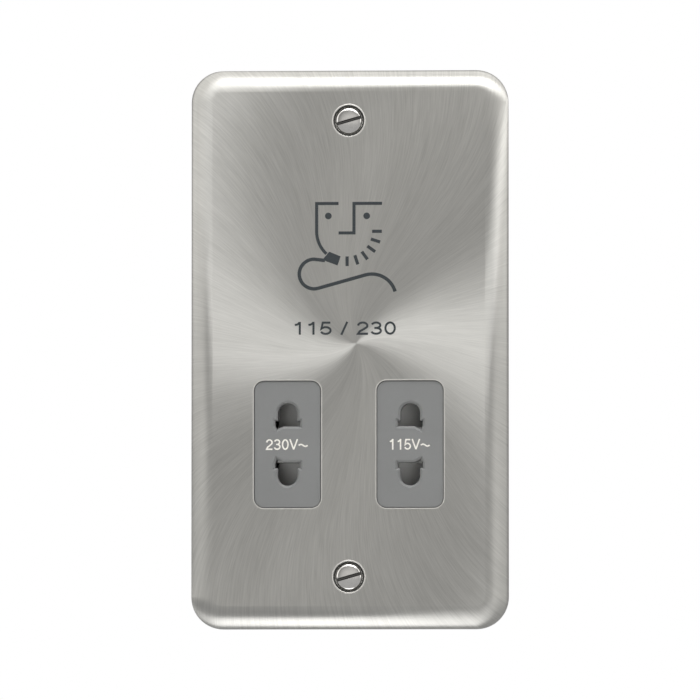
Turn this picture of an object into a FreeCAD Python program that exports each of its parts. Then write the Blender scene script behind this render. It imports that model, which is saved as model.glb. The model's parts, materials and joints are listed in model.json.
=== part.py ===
import FreeCAD, Part
import math
import os
import re
import Sketcher

# Shaver socket for a bathroom wall: two outlets, 230 V and 115 V, fed by an isolating transformer.
# X is to the right seen from the front, Z is up and the front faces -Y. The wall is the plane y = 0,
# and the origin is on it, midway between the two fixing screws. Lengths are in millimetres.

Vector = FreeCAD.Vector

# Driving sizes

SIZES = {
    # front plate, pressed from sheet
    "plate_width": 84.0,
    "plate_height": 148.0,
    "plate_depth": 7.0,
    "plate_corner": 8.5,
    "edge_round": 6.0,
    "sheet_thick": 1.0,
    "window_width": 17.8,
    "window_height": 33.7,
    "window_corner": 2.7,
    "window_edge_round": 0.3,
    "dimple_radius": 4.3,
    "stud_radius": 1.5,
    "stud_length": 5.2,
    "stud_height": 60.0,
    # fixing screws
    "fixing_pitch": 120.6,
    "fixing_radius": 1.75,
    "fixing_clear": 0.35,
    "fixing_length": 30.0,
    "fixing_head_radius": 3.5,
    "fixing_dome": 1.1,
    "neck_relief": 0.35,
    "slot_width": 0.9,
    "slot_depth": 1.1,
    "slot_angle": 16.0,
    # outlets
    "outlet_pitch": 32.4,
    "outlet_drop": 25.3,
    "pad_gap": 0.2,
    "pad_recess": 0.3,
    "lead_in": 0.6,
    "pin_pitch": 16.6,
    "pin_hole_radius": 2.6,
    "bar_width": 6.6,
    "bar_low": 4.73,
    "bar_thick": 1.54,
    "ear_start": 1.2,
    "ear_corner": 2.85,
    "ear_drop": 0.86,
    "insert_flange": 1.2,
    "insert_flange_thick": 1.2,
    "insert_clear": 0.1,
    "insert_corner": 1.0,
    # front moulding
    "base_margin": 1.0,
    "base_thick": 3.0,
    "base_corner": 6.0,
    "rib_thick": 1.5,
    "outlet_thick": 4.5,
    "tray_depth": 7.5,
    "tray_wall": 2.0,
    "tray_end_wall": 1.5,
    "boss_radius": 3.6,
    "boss_height": 3.0,
    "boss_floor": 0.5,
    # shutter slide and its springs
    "slide_length": 38.2,
    "slide_height": 26.0,
    "slide_clear": 0.3,
    "slide_travel": 6.3,
    "ramp_start": 12.6,
    "ramp_depth": 5.2,
    "web_height": 9.4,
    "spring_radius": 2.3,
    "spring_wire": 0.4,
    "spring_turns": 8.0,
    "spring_pocket_depth": 4.7,
    # plug switch
    "bridge_length": 11.0,
    "bridge_height": 4.0,
    "bridge_thick": 0.5,
    "bridge_seat": 0.3,
    "feed_pad_length": 5.0,
    "load_pad_inner": 7.0,
    "load_pad_outer": 11.0,
    "load_link_low": 3.5,
    "load_link_high": 5.5,
    "tail_width": 2.0,
    "tail_length": 3.0,
    # contact carrier and contacts
    "carrier_thick": 2.5,
    "pin_slot_width": 7.0,
    "pin_slot_height": 7.6,
    "strip_thick": 0.5,
    "strip_width": 6.0,
    "strip_gap": 5.8,
    "strip_depth": 9.5,
    "inner_foot": 2.3,
    "outer_foot": 3.2,
    "peg_radius": 0.8,
    "peg_head_radius": 1.3,
    "peg_head_thick": 0.7,
    "peg_inset": 1.6,
    "carrier_screw_radius": 1.1,
    "carrier_screw_length": 8.0,
    "carrier_screw_height": 11.0,
    # rear housing
    "housing_width": 64.0,
    "housing_height": 106.0,
    "housing_wall": 2.0,
    "housing_corner": 4.0,
    "housing_depth": 43.0,
    "shelf_depth": 27.0,
    "shelf_height": 15.0,
    "tray_gap": 0.5,
    "rear_round": 1.5,
    "ear_x": 13.0,
    "ear_reach": 4.0,
    "ear_thick": 3.0,
    "rib_height": 10.0,
    "divider_thick": 1.6,
    "vent_width": 2.0,
    "vent_pitch": 6.0,
    "vent_height": 30.0,
    "housing_screw_radius": 1.2,
    "housing_screw_length": 7.5,
    # transformer
    "core_width": 54.0,
    "core_limb": 9.0,
    "core_stack": 20.0,
    "core_low": 1.5,
    "coil_front_room": 3.5,
    "coil_back_room": 1.5,
    "pillar_radius": 3.4,
    "core_screw_radius": 1.5,
    "core_screw_length": 27.0,
    "bobbin_clear": 0.2,
    "bobbin_wall": 1.0,
    "flange_thick": 1.2,
    "flange_clear": 0.5,
    "winding_inset": 1.0,
    "winding_corner": 4.0,
    "tape_thick": 0.2,
    "rail_width": 30.0,
    "rail_height": 3.5,
    "rail_thick": 5.0,
    "rail_inset": 1.0,
    "tag_pitch": 12.0,
    "tag_width": 2.0,
    "tag_thick": 0.6,
    "tag_length": 6.2,
    "tag_seat": 2.5,
    "cutout_width": 14.0,
    "cutout_height": 8.0,
    "cutout_thick": 2.5,
    "cutout_round": 0.6,
    # mains terminals and earthing
    "terminal_pitch": 22.0,
    "terminal_width": 8.5,
    "terminal_depth": 9.0,
    "terminal_height": 11.0,
    "terminal_inset": 1.5,
    "wire_bore_radius": 1.75,
    "wire_bore_depth": 4.0,
    "terminal_screw_radius": 1.5,
    "stem_radius": 1.5,
    "stem_length": 3.5,
    "stem_clear": 0.2,
    "terminal_edge": 0.4,
    "strap_width": 6.0,
    "strap_thick": 0.6,
    "strap_bend": 1.0,
    "strap_tail": 4.0,
    "retainer_radius": 3.2,
    "retainer_thick": 0.8,
    # small screws, fits and leads
    "thread_clear": 0.1,
    "screw_clear": 0.2,
    "screw_head_ratio": 1.75,
    "screw_head_thick": 1.8,
    "screw_slot_width": 0.7,
    "screw_slot_depth": 0.8,
    "lead_radius": 0.8,
}

# Places and derived sizes, written as expressions of the driving sizes

PLACES = {
    "plate_face": "-plate_depth",
    "plate_back": "plate_face + sheet_thick",
    "edge_radius": "min(edge_round; plate_depth - 0.5 * sheet_thick; plate_corner - 0.5)",
    "dimple_bore": "fixing_radius + fixing_clear",
    "dimple_depth": "dimple_radius - dimple_bore",
    "dimple_back_radius": "dimple_radius + (sqrt(2) - 1) * sheet_thick",
    "stud_end": "plate_back + stud_length",
    "head_rim": "plate_face + dimple_radius - fixing_head_radius",
    "head_top": "head_rim - fixing_dome",
    "neck_radius": "fixing_radius - neck_relief",
    "head_cone_end": "head_rim + fixing_head_radius - neck_radius",
    "dome_radius": "(fixing_head_radius^2 + fixing_dome^2) / (2 * fixing_dome)",
    "outlet_up": "-outlet_drop",
    "pad_face": "plate_face + pad_recess",
    "insert_flange_back": "plate_back + insert_flange_thick",
    "base_back": "plate_back + base_thick",
    "base_half_width": "plate_width / 2 - edge_round - base_margin",
    "base_half_height": "plate_height / 2 - edge_round - base_margin",
    "tray_floor": "plate_back + outlet_thick",
    "tray_top": "tray_floor + tray_depth",
    "tray_half_height": "slide_height / 2 + slide_clear",
    "tray_outer_height": "tray_half_height + tray_wall",
    "tray_outer_width": "housing_width / 2 - housing_wall - tray_gap",
    "slide_half": "slide_length / 2",
    "tray_half_width": "slide_half + slide_travel + slide_clear",
    "spring_wall": "tray_outer_width - tray_end_wall",
    "spring_seat": "slide_half - spring_pocket_depth",
    "spring_bore": "spring_radius + slide_clear",
    "spring_length": "spring_wall - spring_seat",
    "slide_front": "tray_floor + slide_clear",
    "slide_back": "tray_top - slide_clear",
    "spring_depth": "(slide_front + slide_back) / 2",
    "ramp_end": "slide_front + ramp_depth",
    "bridge_front": "slide_back - bridge_seat",
    "carrier_back": "tray_top + carrier_thick",
    "carrier_screw_x": "(tray_half_width + tray_outer_width) / 2",
    "pin_up": "pin_pitch / 2",
    "strip_half": "strip_gap / 2 + strip_thick / 2",
    "strip_foot": "carrier_back + strip_thick / 2",
    "strip_base": "carrier_back + strip_depth - strip_thick / 2",
    "peg_up": "pin_up + strip_gap / 2 + strip_thick + peg_inset",
    "housing_half": "housing_width / 2",
    "housing_top": "housing_height / 2",
    "housing_bottom": "-housing_top",
    "step_bottom": "housing_bottom + shelf_height",
    "shelf_back": "base_back + shelf_depth",
    "housing_back": "base_back + housing_depth",
    "ear_up": "housing_top + ear_reach",
    "boss_top": "base_back + boss_height",
    "core_half": "core_width / 2",
    "core_leg_half": "core_limb",
    "core_window_low": "core_low + core_limb",
    "core_window_high": "core_window_low + 3 * core_limb",
    "core_high": "core_window_high + core_limb",
    "flange_front": "base_back + coil_front_room",
    "flange_back": "housing_back - housing_wall - coil_back_room",
    "core_mid": "(flange_front + flange_back) / 2",
    "core_front": "core_mid - core_stack / 2",
    "core_back": "core_mid + core_stack / 2",
    "core_hole_x": "core_half - core_limb / 2",
    "core_hole_low": "core_low + core_limb / 2",
    "core_hole_high": "core_high - core_limb / 2",
    "tube_half_width": "core_leg_half + bobbin_clear + bobbin_wall",
    "tube_half_depth": "core_stack / 2 + bobbin_clear + bobbin_wall",
    "bobbin_low": "core_window_low + bobbin_clear",
    "bobbin_high": "core_window_high - bobbin_clear",
    "bobbin_middle": "(bobbin_low + bobbin_high) / 2",
    "flange_half_width": "2 * core_limb - flange_clear",
    "flange_half_depth": "(flange_back - flange_front) / 2",
    "winding_half_width": "flange_half_width - winding_inset",
    "winding_half_depth": "flange_half_depth - winding_inset",
    "rail_front": "flange_front + rail_inset",
    "tag_depth": "rail_front + rail_thick / 2",
    "tape_front": "core_mid - winding_half_depth - tape_thick",
    "primary_up": "(bobbin_middle + flange_thick / 2 + bobbin_high - flange_thick) / 2",
    "terminal_low": "housing_bottom + terminal_inset",
    "terminal_up": "terminal_low + terminal_height / 2",
    "terminal_back": "shelf_back + terminal_depth",
    "wire_bore_back": "shelf_back + wire_bore_depth",
    "stem_end": "shelf_back - stem_length",
    "strap_back": "base_back + strap_thick",
}

doc = FreeCAD.newDocument("ShaverSocket")
sheet = doc.addObject("Spreadsheet::Sheet", "Sizes")
for row, (alias, size) in enumerate(SIZES.items(), start=1):
    sheet.set(f"B{row}", str(size))
    sheet.setAlias(f"B{row}", alias)
doc.recompute()

parts = {}


# Expressions

def sized(text):
    """An expression with every named place written out down to the sheet's cells."""
    def written_out(match):
        name = match.group(0)
        if name in PLACES:
            return f"({sized(PLACES[name])})"
        if name in SIZES:
            return f"Sizes.{name}"
        return name
    return re.sub(r"[A-Za-z_]\w*", written_out, str(text))


def value(text):
    """The number that an expression has with the sheet as it stands."""
    return float(doc.Sizes.evalExpression(sized(text)))


def bind(item, path, text):
    """Ties a property of an object to an expression."""
    item.setExpression(path, sized(text))


# Outlines

def box(left, low, right, high, corner=None):
    """An anticlockwise rectangle, its corners rounded where a radius is given."""
    if corner is None:
        return [(left, low), (right, low), (right, high), (left, high)]
    return [
        (f"{left} + {corner}", low),
        (f"{right} - ({corner})", low, corner),
        (right, f"{low} + {corner}"),
        (right, f"{high} - ({corner})", corner),
        (f"{right} - ({corner})", high),
        (f"{left} + {corner}", high, corner),
        (left, f"{high} - ({corner})"),
        (left, f"{low} + {corner}", corner),
    ]


def centred_box(across, up, width, height, corner=None):
    """A rectangle about a centre."""
    return box(f"{across} - ({width}) / 2", f"{up} - ({height}) / 2",
               f"{across} + ({width}) / 2", f"{up} + ({height}) / 2", corner)


def circle(across, up, radius):
    """A circle, as the shapes of a sketch list it."""
    return {"across": across, "up": up, "radius": radius}


def outline_edges(corners):
    """The edges of an outline, anticlockwise, as pairs of corners with a radius or None."""
    edges = []
    for here, following in zip(corners, corners[1:] + corners[:1]):
        radius = here[2] if len(here) == 3 else None
        edges.append((here[:2], following[:2], radius))
    area = 0.0
    for (start, end, radius) in edges:
        area += value(start[0]) * value(end[1]) - value(end[0]) * value(start[1])
    if area < 0:
        edges = [(end, start, radius) for start, end, radius in reversed(edges)]
    return edges


def edge_curve(start, end, radius):
    """A straight edge, or an arc that bulges out of an anticlockwise outline."""
    first = Vector(value(start[0]), value(start[1]), 0)
    last = Vector(value(end[0]), value(end[1]), 0)
    if radius is None:
        return Part.LineSegment(first, last)
    size = value(radius)
    chord = last - first
    inward = Vector(-chord.y, chord.x, 0).normalize()
    reach = math.sqrt(max(0.0, size * size - chord.Length ** 2 / 4))
    centre = (first + last) * 0.5 + inward * reach
    turn_start = math.atan2(first.y - centre.y, first.x - centre.x)
    turn_end = math.atan2(last.y - centre.y, last.x - centre.x)
    return Part.ArcOfCircle(Part.Circle(centre, Vector(0, 0, 1), size), turn_start, turn_end)


def draw_outline(sketch, corners):
    """Draws a closed outline whose corners and radii follow the sheet."""
    edges = outline_edges(corners)
    first = sketch.GeometryCount
    sketch.addGeometry([edge_curve(*edge) for edge in edges], False)
    for step, (start, end, radius) in enumerate(edges):
        index = first + step
        following = first + (step + 1) % len(edges)
        sketch.addConstraint(Sketcher.Constraint("Coincident", index, 2, following, 1))
        for kind, text in zip(("DistanceX", "DistanceY"), start):
            place = sketch.addConstraint(Sketcher.Constraint(kind, -1, 1, index, 1, value(text)))
            bind(sketch, f"Constraints[{place}]", text)
        if radius is not None:
            place = sketch.addConstraint(Sketcher.Constraint("Radius", index, value(radius)))
            bind(sketch, f"Constraints[{place}]", radius)


def draw_circle(sketch, shape):
    """Draws a circle whose centre and radius follow the sheet."""
    centre = Vector(value(shape["across"]), value(shape["up"]), 0)
    index = sketch.addGeometry(Part.Circle(centre, Vector(0, 0, 1), value(shape["radius"])), False)
    for kind, text in (("DistanceX", shape["across"]), ("DistanceY", shape["up"])):
        place = sketch.addConstraint(Sketcher.Constraint(kind, -1, 1, index, 3, value(text)))
        bind(sketch, f"Constraints[{place}]", text)
    place = sketch.addConstraint(Sketcher.Constraint("Radius", index, value(shape["radius"])))
    bind(sketch, f"Constraints[{place}]", shape["radius"])


def draw(body, name, plane, offset, shapes):
    """A sketch on one of the body's origin planes, moved along the plane's normal."""
    sketch = body.newObject("Sketcher::SketchObject", f"{body.Name}_{name}_sketch")
    support = next(item for item in body.Origin.OriginFeatures if item.Role == plane)
    sketch.AttachmentSupport = (support, [""])
    sketch.MapMode = "FlatFace"
    bind(sketch, "AttachmentOffset.Base.z", offset)
    for shape in shapes:
        if isinstance(shape, dict):
            draw_circle(sketch, shape)
        else:
            draw_outline(sketch, shape)
    return sketch


# Features

def new_body(name):
    """A body that becomes the sub-part of this name."""
    body = doc.addObject("PartDesign::Body", name)
    body.Label = name
    parts[name] = body
    return body


def extrude(kind, body, name, plane, low, high, shapes):
    """A pad or pocket between two places along the axis that the plane faces."""
    facing = -1 if plane == "XZ_Plane" else 1
    starts_low = (kind == "PartDesign::Pad") == (facing == 1)
    start = low if starts_low else high
    sketch = draw(body, name, plane, f"{facing} * ({start})", shapes)
    feature = body.newObject(kind, f"{body.Name}_{name}")
    feature.Profile = sketch
    bind(feature, "Length", f"({high}) - ({low})")
    sketch.Visibility = False
    body.Tip = feature
    doc.recompute()
    return feature


def pad(body, name, low, high, shapes, plane="XZ_Plane"):
    """Adds material, front to back unless another plane is named."""
    return extrude("PartDesign::Pad", body, name, plane, low, high, shapes)


def pocket(body, name, low, high, shapes, plane="XZ_Plane"):
    """Cuts material away, front to back unless another plane is named."""
    before = body.Shape.Volume
    feature = extrude("PartDesign::Pocket", body, name, plane, low, high, shapes)
    if body.Shape.Volume > before - 1e-6:
        raise RuntimeError(f"{feature.Name} cuts nothing")
    return feature


def dress_edges(body, name, size, chosen, kind="PartDesign::Fillet"):
    """Rounds or chamfers the edges of the body that pass a test."""
    base = body.Tip
    names = [f"Edge{place}" for place, edge in enumerate(base.Shape.Edges, start=1) if chosen(edge)]
    feature = body.newObject(kind, f"{body.Name}_{name}")
    feature.Base = (base, names)
    bind(feature, "Radius" if kind == "PartDesign::Fillet" else "Size", size)
    body.Tip = feature
    doc.recompute()
    return feature


def lies_at(edge, axis, place):
    """Whether the whole edge lies in the plane at this place along an axis."""
    return all(abs(corner.Point[axis] - place) < 0.001 for corner in edge.Vertexes)


def within(edge, low, high):
    """Whether the edge's box lies between two corners."""
    bounds = edge.BoundBox
    lowest = (bounds.XMin, bounds.YMin, bounds.ZMin)
    highest = (bounds.XMax, bounds.YMax, bounds.ZMax)
    above = all(have > want - 0.001 for have, want in zip(lowest, low))
    below = all(have < want + 0.001 for have, want in zip(highest, high))
    return above and below


def turned(axis):
    """The rotation that points a primitive's own axis along X or along Y, or leaves it on Z."""
    if axis == "X":
        return FreeCAD.Rotation(Vector(0, 1, 0), 90)
    if axis == "Y":
        return FreeCAD.Rotation(Vector(1, 0, 0), -90)
    return FreeCAD.Rotation()


def place_at(item, across, depth, up, axis="Z"):
    """Puts an object at a place that follows the sheet."""
    item.Placement = FreeCAD.Placement(Vector(0, 0, 0), turned(axis))
    for letter, text in (("x", across), ("y", depth), ("z", up)):
        bind(item, f"Placement.Base.{letter}", text)


def cylinder(name, across, depth, up, radius, length, axis="Y"):
    """A cylinder that starts at a place and runs along an axis."""
    item = doc.addObject("Part::Cylinder", name)
    bind(item, "Radius", radius)
    bind(item, "Height", length)
    place_at(item, across, depth, up, axis)
    return item


def block(name, low, high):
    """A plain block between two corners."""
    item = doc.addObject("Part::Box", name)
    for edge, start, end in zip(("Length", "Width", "Height"), low, high):
        bind(item, edge, f"({end}) - ({start})")
    place_at(item, *low)
    return item


def fused(name, items):
    """Several objects made one."""
    joined = doc.addObject("Part::MultiFuse", name)
    joined.Shapes = items
    return joined


def cut(name, base, tool):
    """One object less another."""
    result = doc.addObject("Part::Cut", name)
    result.Base = base
    result.Tool = tool
    return result


def as_part(name, item):
    """Names an object as the sub-part."""
    item.Label = name
    parts[name] = item
    return item


def as_group(name, items):
    """Identical pieces, each its own solid, kept in one sub-part."""
    group = doc.addObject("Part::Compound", name)
    group.Links = items
    return as_part(name, group)


def as_shape(name, shape, placement=FreeCAD.Placement()):
    """A sub-part whose shape is worked out by Part's own functions."""
    item = doc.addObject("Part::Feature", name)
    item.Shape = shape
    item.Placement = placement
    return as_part(name, item)


# Bent strips, leads and springs

def rounded_path(points, bend=None):
    """Straight runs joined by tangent arcs, as large as the runs allow if no bend is given."""
    edges = []
    start = points[0]
    for before, corner, after in zip(points, points[1:], points[2:]):
        run_in = corner - before
        run_out = after - corner
        half_turn = run_in.getAngle(run_out) / 2
        shorter = min(run_in.Length, run_out.Length)
        radius = 0.45 * shorter / math.tan(half_turn) if bend is None else bend
        setback = radius * math.tan(half_turn)
        heading_in = Vector(run_in).normalize()
        heading_out = Vector(run_out).normalize()
        inward = (heading_out - heading_in).normalize()
        arc_start = corner - heading_in * setback
        arc_middle = corner + inward * (radius / math.cos(half_turn) - radius)
        arc_end = corner + heading_out * setback
        edges.append(Part.LineSegment(start, arc_start).toShape())
        edges.append(Part.Arc(arc_start, arc_middle, arc_end).toShape())
        start = arc_end
    edges.append(Part.LineSegment(start, points[-1]).toShape())
    return Part.Wire(edges)


def bent_strip(points, thick, bend, left, right):
    """A strip folded along a line of (depth, up) points, from x = left to x = right."""
    path = rounded_path([Vector(left, depth, up) for depth, up in points], bend)
    one_side = path.makeOffset2D(thick / 2, join=0, fill=True, openResult=True)
    other_side = path.makeOffset2D(-thick / 2, join=0, fill=True, openResult=True)
    across = Vector(right - left, 0, 0)
    return one_side.extrude(across).fuse(other_side.extrude(across)).removeSplitter()


def bore(across, depth, up, radius, length):
    """A cylinder along +Y for a hole in a worked-out shape."""
    return Part.makeCylinder(radius, length, Vector(across, depth, up), Vector(0, 1, 0))


def lead(name, points):
    """An insulated lead along its route, with arcs as large as its runs allow."""
    radius = value("lead_radius")
    path = rounded_path([Vector(*point) for point in points])
    heading = Vector(*points[1]) - Vector(*points[0])
    ring = Part.Wire([Part.Circle(Vector(*points[0]), heading, radius).toShape()])
    tube = path.makePipeShell([ring], True, False)
    share = tube.Volume / (math.pi * radius ** 2 * path.Length)
    bends = [edge.Curve.Radius for edge in path.Edges if isinstance(edge.Curve, Part.Circle)]
    print(f"{name}: length {path.Length:.1f}, tightest bend {min(bends):.1f}, volume share {share:.4f}")
    as_shape(name, tube)


def spring(name, side):
    """A coil spring along X from its seat in the slide to the end wall of the tray."""
    wire_radius = value("spring_wire") / 2
    coil_radius = value("spring_radius") - wire_radius
    length = value("spring_length") - 2 * wire_radius
    turns = value("spring_turns")
    helix = Part.makeHelix(length / turns, length, coil_radius)
    start = helix.Edges[0].valueAt(helix.Edges[0].FirstParameter)
    heading = helix.Edges[0].tangentAt(helix.Edges[0].FirstParameter)
    ring = Part.Wire([Part.Circle(start, heading, wire_radius).toShape()])
    coil = Part.Wire(helix.Edges).makePipeShell([ring], True, True)
    seat = Vector(side * (value("spring_seat") + wire_radius), value("spring_depth"), value("outlet_up"))
    as_shape(name, coil, FreeCAD.Placement(seat, FreeCAD.Rotation(Vector(0, 1, 0), 90 * side)))


# Front plate

def outlet_outline(side, margin="0"):
    """The outline of one outlet's window, larger all round by a margin."""
    return centred_box(f"{side} * outlet_pitch / 2", "outlet_up",
                       f"(window_width + 2 * ({margin}))", f"(window_height + 2 * ({margin}))",
                       f"(window_corner + {margin})")


def stud_places():
    """The four studs of the plate, in line with the outer terminals."""
    return [(f"{side} * terminal_pitch", f"{end} * stud_height") for side in (-1, 1) for end in (-1, 1)]


def fixing_places():
    """The two fixing screws, on the vertical middle line."""
    return [("0", f"{end} * fixing_pitch / 2") for end in (-1, 1)]


def press_dimple(body, name, up):
    """A countersunk dimple pressed back for a fixing screw, with its hole."""
    boss = body.newObject("PartDesign::AdditiveCone", f"{name}_boss")
    bind(boss, "Radius1", "dimple_back_radius")
    bind(boss, "Radius2", "dimple_back_radius - dimple_depth")
    bind(boss, "Height", "dimple_depth")
    place_at(boss, "0", "plate_back", up, "Y")
    seat = body.newObject("PartDesign::SubtractiveCone", f"{name}_seat")
    bind(seat, "Radius1", "dimple_radius")
    bind(seat, "Radius2", "dimple_bore")
    bind(seat, "Height", "dimple_depth")
    place_at(seat, "0", "plate_face", up, "Y")
    hole = body.newObject("PartDesign::SubtractiveCylinder", f"{name}_hole")
    bind(hole, "Radius", "dimple_bore")
    bind(hole, "Height", "dimple_depth + 2 * sheet_thick")
    place_at(hole, "0", "plate_face", up, "Y")
    body.Tip = hole
    doc.recompute()


def make_front_plate():
    """The pressed sheet-metal cover: rounded front edge, windows, screw dimples and welded studs."""
    body = new_body("front_plate")
    outline = centred_box("0", "0", "plate_width", "plate_height", "plate_corner")
    pad(body, "form", "plate_face", "0", [outline])
    face = value("plate_face")
    dress_edges(body, "edge_round", "edge_radius", lambda edge: lies_at(edge, 1, face))
    base = body.Tip
    open_side = next(f"Face{place}" for place, side in enumerate(base.Shape.Faces, start=1)
                     if side.BoundBox.YMin > -0.001)
    shell = body.newObject("PartDesign::Thickness", "front_plate_shell")
    shell.Base = (base, [open_side])
    shell.Reversed = True
    bind(shell, "Value", "sheet_thick")
    body.Tip = shell
    doc.recompute()
    pocket(body, "windows", "plate_face", "plate_back", [outlet_outline(-1), outlet_outline(1)])
    half_width = value("(outlet_pitch + window_width) / 2")
    top = value("outlet_up + window_height / 2")
    bottom = value("outlet_up - window_height / 2")
    dress_edges(body, "window_edges", "window_edge_round",
                lambda edge: within(edge, (-half_width, face, bottom), (half_width, face, top)))
    for name, (across, up) in zip(("lower_dimple", "upper_dimple"), fixing_places()):
        press_dimple(body, name, up)
    studs = [circle(across, up, "stud_radius") for across, up in stud_places()]
    pad(body, "studs", "plate_back", "stud_end", studs)


def make_fixing_screw(name, up):
    """A raised countersunk slotted screw, its cone seated in the dimple."""
    body = new_body(name)
    profile = [
        ("0", "head_top", "dome_radius"),
        ("fixing_head_radius", "head_rim"),
        ("neck_radius", "head_cone_end"),
        ("neck_radius", "base_back"),
        ("fixing_radius", "base_back"),
        ("fixing_radius", "head_rim + fixing_length - fixing_radius / 3"),
        ("fixing_radius * 2 / 3", "head_rim + fixing_length"),
        ("0", "head_rim + fixing_length"),
    ]
    sketch = draw(body, "profile", "XY_Plane", "0", [profile])
    turned_form = body.newObject("PartDesign::Revolution", f"{name}_turned")
    turned_form.Profile = sketch
    turned_form.ReferenceAxis = (sketch, ["V_Axis"])
    turned_form.Angle = 360
    body.Tip = turned_form
    doc.recompute()
    pocket(body, "slot", "head_top - 1", "head_top + slot_depth", [slot_outline()])
    place_at(body, "0", "0", up)


def slot_outline():
    """The screwdriver slot, turned by its angle and longer than the head is wide."""
    corners = []
    for along, beside in ((-1, -1), (1, -1), (1, 1), (-1, 1)):
        reach = f"{along} * (fixing_head_radius + 1)"
        width = f"{beside} * slot_width / 2"
        corners.append((f"{reach} * cos(slot_angle) - {width} * sin(slot_angle)",
                        f"{reach} * sin(slot_angle) + {width} * cos(slot_angle)"))
    return corners


# Outlet inserts

def insert_block(side, clear):
    """The part of an insert that reaches back to the slide, larger all round by a clearance."""
    return centred_box(f"{side} * outlet_pitch / 2", "outlet_up",
                       f"(window_width - 2 * pad_gap + 2 * {clear})",
                       f"(2 * (tray_half_height - insert_clear + {clear}))",
                       f"(insert_corner + {clear})")


def pin_hole(side, end):
    """One pin opening: an arch for round pins, a bar for flat pins and a slanted ear.

    The ear is on the outer side of its outlet and points to the outlet's middle.
    """
    half_bar = "bar_width / 2"
    bar_high = "bar_low + bar_thick"
    points = [
        (f"-{half_bar}", "bar_low"),
        ("ear_start", "bar_low"),
        ("ear_corner", "bar_low - ear_drop"),
        (half_bar, "bar_low + 0.1 * bar_thick"),
        (half_bar, bar_high),
        ("pin_hole_radius", bar_high),
        ("pin_hole_radius", "pin_up", "pin_hole_radius"),
        ("0", "pin_up + pin_hole_radius", "pin_hole_radius"),
        ("-pin_hole_radius", "pin_up"),
        ("-pin_hole_radius", bar_high),
        (f"-{half_bar}", bar_high),
    ]
    outline = []
    for point in points:
        across = f"{side} * outlet_pitch / 2 + {side} * ({point[0]})"
        up = f"outlet_up + {end} * ({point[1]})"
        outline.append((across, up) + point[2:])
    return outline


def make_outlet_insert(name, side):
    """A grey insert: a pad in the plate's window, a flange behind the plate and a block with the
    two pin holes, which reaches back to the slide."""
    body = new_body(name)
    pad(body, "pad", "pad_face", "plate_back", [outlet_outline(side, "-pad_gap")])
    pad(body, "flange", "plate_back", "insert_flange_back", [outlet_outline(side, "insert_flange")])
    pad(body, "block", "insert_flange_back", "tray_floor", [insert_block(side, "0")])
    pocket(body, "pin_holes", "pad_face", "tray_floor", [pin_hole(side, end) for end in (-1, 1)])
    face = value("pad_face")
    left = value(f"{side} * outlet_pitch / 2 - bar_width / 2")
    right = value(f"{side} * outlet_pitch / 2 + bar_width / 2")
    low = value("outlet_up - pin_up - pin_hole_radius")
    high = value("outlet_up + pin_up + pin_hole_radius")
    dress_edges(body, "lead_in", "lead_in",
                lambda edge: within(edge, (left, face, low), (right, face, high)),
                "PartDesign::Chamfer")


# Front moulding

def make_front_moulding():
    """The base behind the plate, with seats for the outlet inserts and the shutter's tray."""
    body = new_body("front_moulding")
    whole = box("-base_half_width", "-base_half_height", "base_half_width", "base_half_height",
                "base_corner")
    inside = box("-base_half_width + rib_thick", "-base_half_height + rib_thick",
                 "base_half_width - rib_thick", "base_half_height - rib_thick",
                 "(base_corner - rib_thick)")
    pad(body, "base", "plate_back", "0", [whole])
    pocket(body, "inside", "base_back", "0", [inside])
    tray = centred_box("0", "outlet_up", "2 * tray_outer_width", "2 * tray_outer_height")
    pad(body, "tray", "base_back", "tray_top", [tray])
    cavity = centred_box("0", "outlet_up", "2 * tray_half_width", "2 * tray_half_height")
    pocket(body, "slide_cavity", "tray_floor", "tray_top", [cavity])
    well = centred_box("0", "outlet_up", "2 * spring_wall", "2 * spring_bore")
    pocket(body, "spring_wells", "tray_floor", "tray_top", [well])
    pocket(body, "insert_seats", "plate_back", "insert_flange_back",
           [outlet_outline(side, "insert_flange + insert_clear") for side in (-1, 1)])
    pocket(body, "insert_rooms", "insert_flange_back", "tray_floor",
           [insert_block(side, "insert_clear") for side in (-1, 1)])
    ears = [(f"{side} * ear_x", f"{end} * ear_up") for side in (-1, 1) for end in (-1, 1)]
    pad(body, "bosses", "base_back", "boss_top",
        [circle(across, up, "boss_radius") for across, up in ears])
    pocket(body, "boss_holes", "plate_back + boss_floor", "boss_top",
           [circle(across, up, "housing_screw_radius + thread_clear") for across, up in ears])
    pocket(body, "stud_holes", "plate_back", "base_back",
           [circle(across, up, "stud_radius + screw_clear") for across, up in stud_places()])
    pocket(body, "dimple_room", "plate_back", "plate_back + dimple_depth + screw_clear",
           [circle(across, up, "dimple_back_radius + screw_clear") for across, up in fixing_places()])
    pocket(body, "fixing_holes", "plate_back", "base_back",
           [circle(across, up, "dimple_bore") for across, up in fixing_places()])
    pocket(body, "carrier_screw_holes", "carrier_back - carrier_screw_length - 1", "tray_top",
           [circle(across, up, "carrier_screw_radius + thread_clear")
            for across, up in carrier_screw_places()])


# Shutter

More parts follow.
